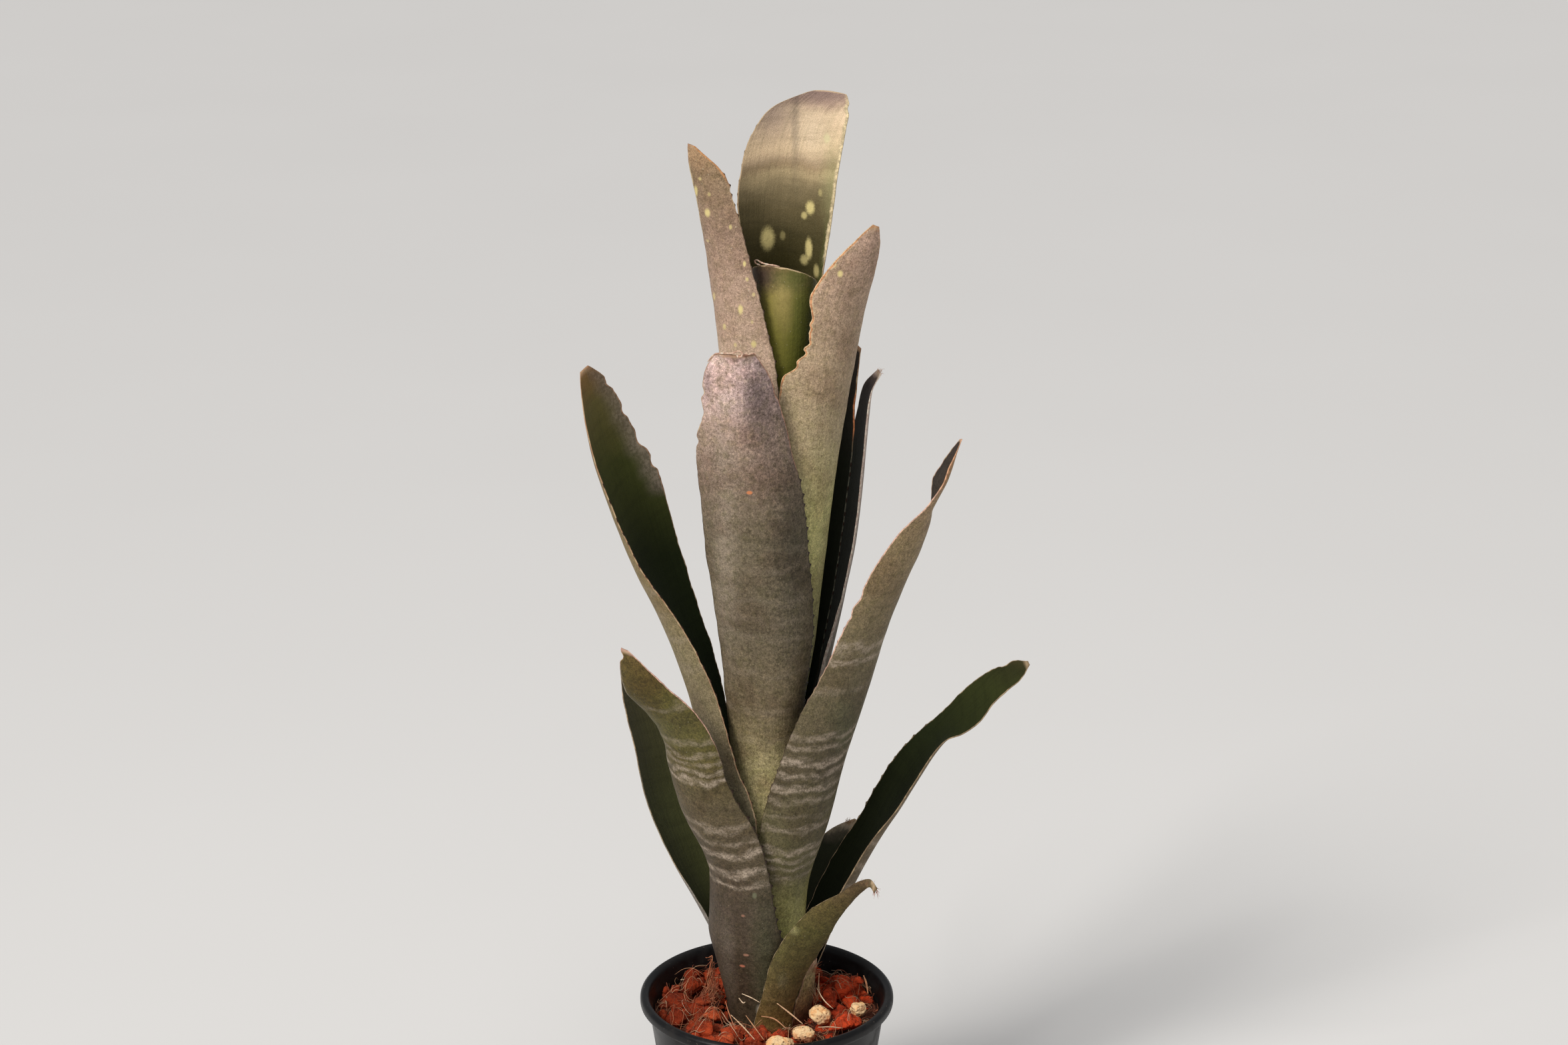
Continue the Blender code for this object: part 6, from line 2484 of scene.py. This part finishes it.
@dataclass
class DryHairs:
    """The frayed, dry hairs at the tips of small leaves and over the papery stub."""

    tufts: tuple[Tuft, ...] = (
        Tuft((41.3, -37.9, 149.8), (0.8, 0.5, 1.2), (0.35, -0.3, -0.8), 2.6, 26, 0.35),
        Tuft((38, -36, 151.6), (3.2, 0.8, 0.8), (0.2, -0.2, 0.7), 1.3, 22, 0.3, 0.05),
        Tuft((42.9, 22.5, 336.6), (0.8, 1.4, 0.8), (0.5, 0, 0.6), 1.4, 26, 0.8, 0.06),
        Tuft((33.6, 39, 144.7), (2.2, 0.8, 0.9), (0.2, -0.7, 0.4), 1.7, 70, 0.97, 0.10),
        Tuft((18.6, -8.6, 101.5), (0.9, 1.8, 1.8), (0.6, -0.3, 1), 3.4, 24, 0.45, 0.08),
        Tuft((19.2, -8.6, 90), (0.5, 2, 5), (0.12, -0.05, 1), 6.5, 26, 0.9, 0.06),
        Tuft((7.6, -21.4, 84.2), (2, 0.6, 1.6), (0, -0.7, 0.3), 1.6, 18, 0.95, 0.08),
    )
    seed: int = 77
    knots: tuple[float, ...] = (0.0, 0.25, 0.5, 0.75, 1.0)
    thinning: float = 0.7
    finish: CoirFibre = CoirFibre()

    def build(self) -> None:
        """Build all the hairs as one piece."""
        rng = random.Random(self.seed)
        pile = Pile()
        for tuft in self.tufts:
            for _ in range(tuft.count):
                root = Vector([tuft.root[k] + rng.uniform(-1.0, 1.0) * tuft.spread[k] for k in range(3)])
                aim = Vector([tuft.aim[k] + rng.uniform(-0.6, 0.6) for k in range(3)]).normalized()
                side = Vector([rng.uniform(-0.5, 0.5) for _ in range(3)])
                length = tuft.length * rng.uniform(0.5, 1.1)
                path = [root + aim * length * t + side * length * t * t * 0.5 for t in self.knots]
                radii = [tuft.radius * (1.0 - self.thinning * t) for t in self.knots]
                lot = min(1.0, max(0.0, tuft.lot + rng.uniform(-0.2, 0.1)))
                pile.add(*tube(np.array(path), radii, 4), lot)
        pile.dress("dry_hairs", self.finish.material(), "dry_leaf")


@dataclass
class DryCurls:
    """The rolled, dried scraps on the torn tops of two leaves: name, points and radius of each."""

    scraps: tuple[tuple[str, tuple[Point, ...], float], ...] = (
        ("front_leaf_curl", (
            (-21, -25, 353.8), (-18.8, -26.4, 356.8), (-16.5, -27.3, 357.7), (-12.5, -28.2, 357.9),
            (-9.8, -28.7, 358.9), (-8.4, -29.3, 358.4), (-8.7, -29.8, 357.2), (-9.8, -29.8, 356.9),
            (-10.3, -29.4, 357.6),
        ), 0.42),
        ("front_leaf_fringe", (
            (-8.8, -28.3, 357.4), (-6, -27.7, 357.4), (-3.6, -26.8, 357.3), (-1.6, -25.6, 355),
        ), 0.36),
        ("tube_leaf_fringe", (
            (-1.9, -8.2, 385.9), (-3.4, -6.6, 386), (-3.9, -6, 386.9), (-3, -7, 387.4), (-1.6, -8.8, 387),
            (0.4, -10.7, 386.8), (2.6, -12, 386.8), (5.2, -12.9, 386.5),
        ), 0.4),
    )
    sides: int = 8
    finish: DriedEdge = DriedEdge()

    def build(self) -> None:
        """Build the rolled scraps as thin tubes, uneven and thinner at their ends."""
        finish = self.finish.material()
        for name, points, radius in self.scraps:
            path = smooth_path(points, 8 * len(points))
            radii = []
            for k in range(len(path)):
                uneven = 0.75 + 0.35 * soft_noise(k * 0.35, 1.0, radius * 9)
                radii.append(radius * uneven * min(1.0, 0.4 + 0.12 * min(k, len(path) - 1 - k)))
            settle_in(smooth_object(name, *tube(path, radii, self.sides), finish), "dry_leaf")


@dataclass
class Plant:
    """All the leaves around the short stem."""

    leaves: tuple[Leaf, ...] = LEAVES
    stem: WoodyStem = WoodyStem()

    def foot_radii(self) -> list[float]:
        """Stack the sheaths: each starts at the smallest radius that clears those it overlaps.

        Returns:
            One radius for each leaf.
        """
        placed: list[tuple[float, float, float]] = []
        for leaf in self.leaves:
            radius = PlantSizes.inner_radius
            for azimuth, wrap, inner in placed:
                apart = abs((leaf.form.azimuth - azimuth + 180.0) % 360.0 - 180.0)
                if apart < leaf.form.wrap + wrap + PlantSizes.overlap:
                    radius = max(radius, inner + PlantSizes.layer)
            placed.append((leaf.form.azimuth, leaf.form.wrap, radius))
        return [radius for _, _, radius in placed]

    def stock(self) -> None:
        """Give the hidden stem a dry, woody finish."""
        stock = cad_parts["stock"]
        stock.data.materials.clear()
        stock.data.materials.append(self.stem.material())
        LOG.info("stock: new finish")

    def build(self) -> None:
        """Build every leaf from the inside out."""
        inner = np.zeros((0, 3))
        for k, (leaf, radius) in enumerate(zip(self.leaves, self.foot_radii())):
            inner = np.concatenate([inner, leaf.build(radius, inner, PlantSizes.first_seed + k)])
        self.stock()


@dataclass
class Studio:
    """A pale floor, soft lights and a camera at the photograph's angle."""

    floor_size: float = 80.0
    floor_finish: PaleFloor = PaleFloor()
    camera_place: Point = (0.0068, -1.248, 0.699)
    camera_pitch: float = 18.4
    lens: float = 80.0
    sensor: float = 36.0
    target: Point = (0.0, 0.0, 0.24)
    key_from: Point = (-0.85, -0.95, 1.15)
    key_power: float = 2.4
    key_softness: float = 20.0
    key_colour: Colour = (1.0, 0.975, 0.94)
    top_from: Point = (-0.10, -0.45, 1.30)
    top_size: float = 0.5
    top_power: float = 4.0
    top_colour: Colour = (1.0, 0.99, 0.96)
    room_light: float = 0.32
    room_colour: Colour = (0.96, 0.97, 1.0)

    def key(self) -> None:
        """The main light: broad, from the upper left in front."""
        data = bpy.data.lights.new("key_light", "SUN")
        data.energy, data.angle, data.color = self.key_power, math.radians(self.key_softness), self.key_colour
        lamp = link("key_light", data)
        lamp.rotation_euler = (-Vector(self.key_from)).to_track_quat("-Z", "Y").to_euler()

    def top(self) -> None:
        """A soft square light from above that faces the plant."""
        data = bpy.data.lights.new("top_light", "AREA")
        data.shape, data.size = "SQUARE", self.top_size
        data.energy, data.color = self.top_power, self.top_colour
        lamp = link("top_light", data)
        lamp.location = self.top_from
        aim = Vector(self.target) - Vector(self.top_from)
        lamp.rotation_euler = aim.to_track_quat("-Z", "Y").to_euler()

    def floor(self) -> None:
        """A plain pale floor."""
        bm = bmesh.new()
        bmesh.ops.create_grid(bm, x_segments=2, y_segments=2, size=self.floor_size / 2)
        mesh = mesh_of("studio_floor", bm)
        mesh.materials.append(self.floor_finish.material())
        floor = link("studio_floor", mesh)

    def camera(self) -> None:
        """The camera of the photograph."""
        camera = link("photo_camera", bpy.data.cameras.new("photo_camera"))
        camera.location = self.camera_place
        camera.rotation_euler = (math.radians(90.0 - self.camera_pitch), 0.0, 0.0)
        camera.data.lens = self.lens
        camera.data.sensor_width = self.sensor
        bpy.context.scene.camera = camera

    def build(self) -> None:
        """Build the floor, the lights and the camera."""
        self.floor()
        world = bpy.data.worlds.new("soft_room")
        world.use_nodes = True
        background = world.node_tree.nodes["Background"]
        background.inputs["Color"].default_value = (*self.room_colour, 1.0)
        background.inputs["Strength"].default_value = self.room_light
        bpy.context.scene.world = world
        bpy.context.scene.view_settings.view_transform = "Standard"
        self.key()
        self.top()
        self.camera()
        LOG.info("studio: floor, lights and camera")


def main() -> None:
    """Build every sub-assembly in order."""
    logging.basicConfig(level=logging.INFO, format="%(name)s: %(message)s")
    pot = NurseryPot()
    pot.build()
    mix = PottingMix(pot)
    mix.build()
    Plant().build()
    DryCurls().build()
    DryHairs().build()
    Studio().build()


if __name__ == "__main__":
    main()
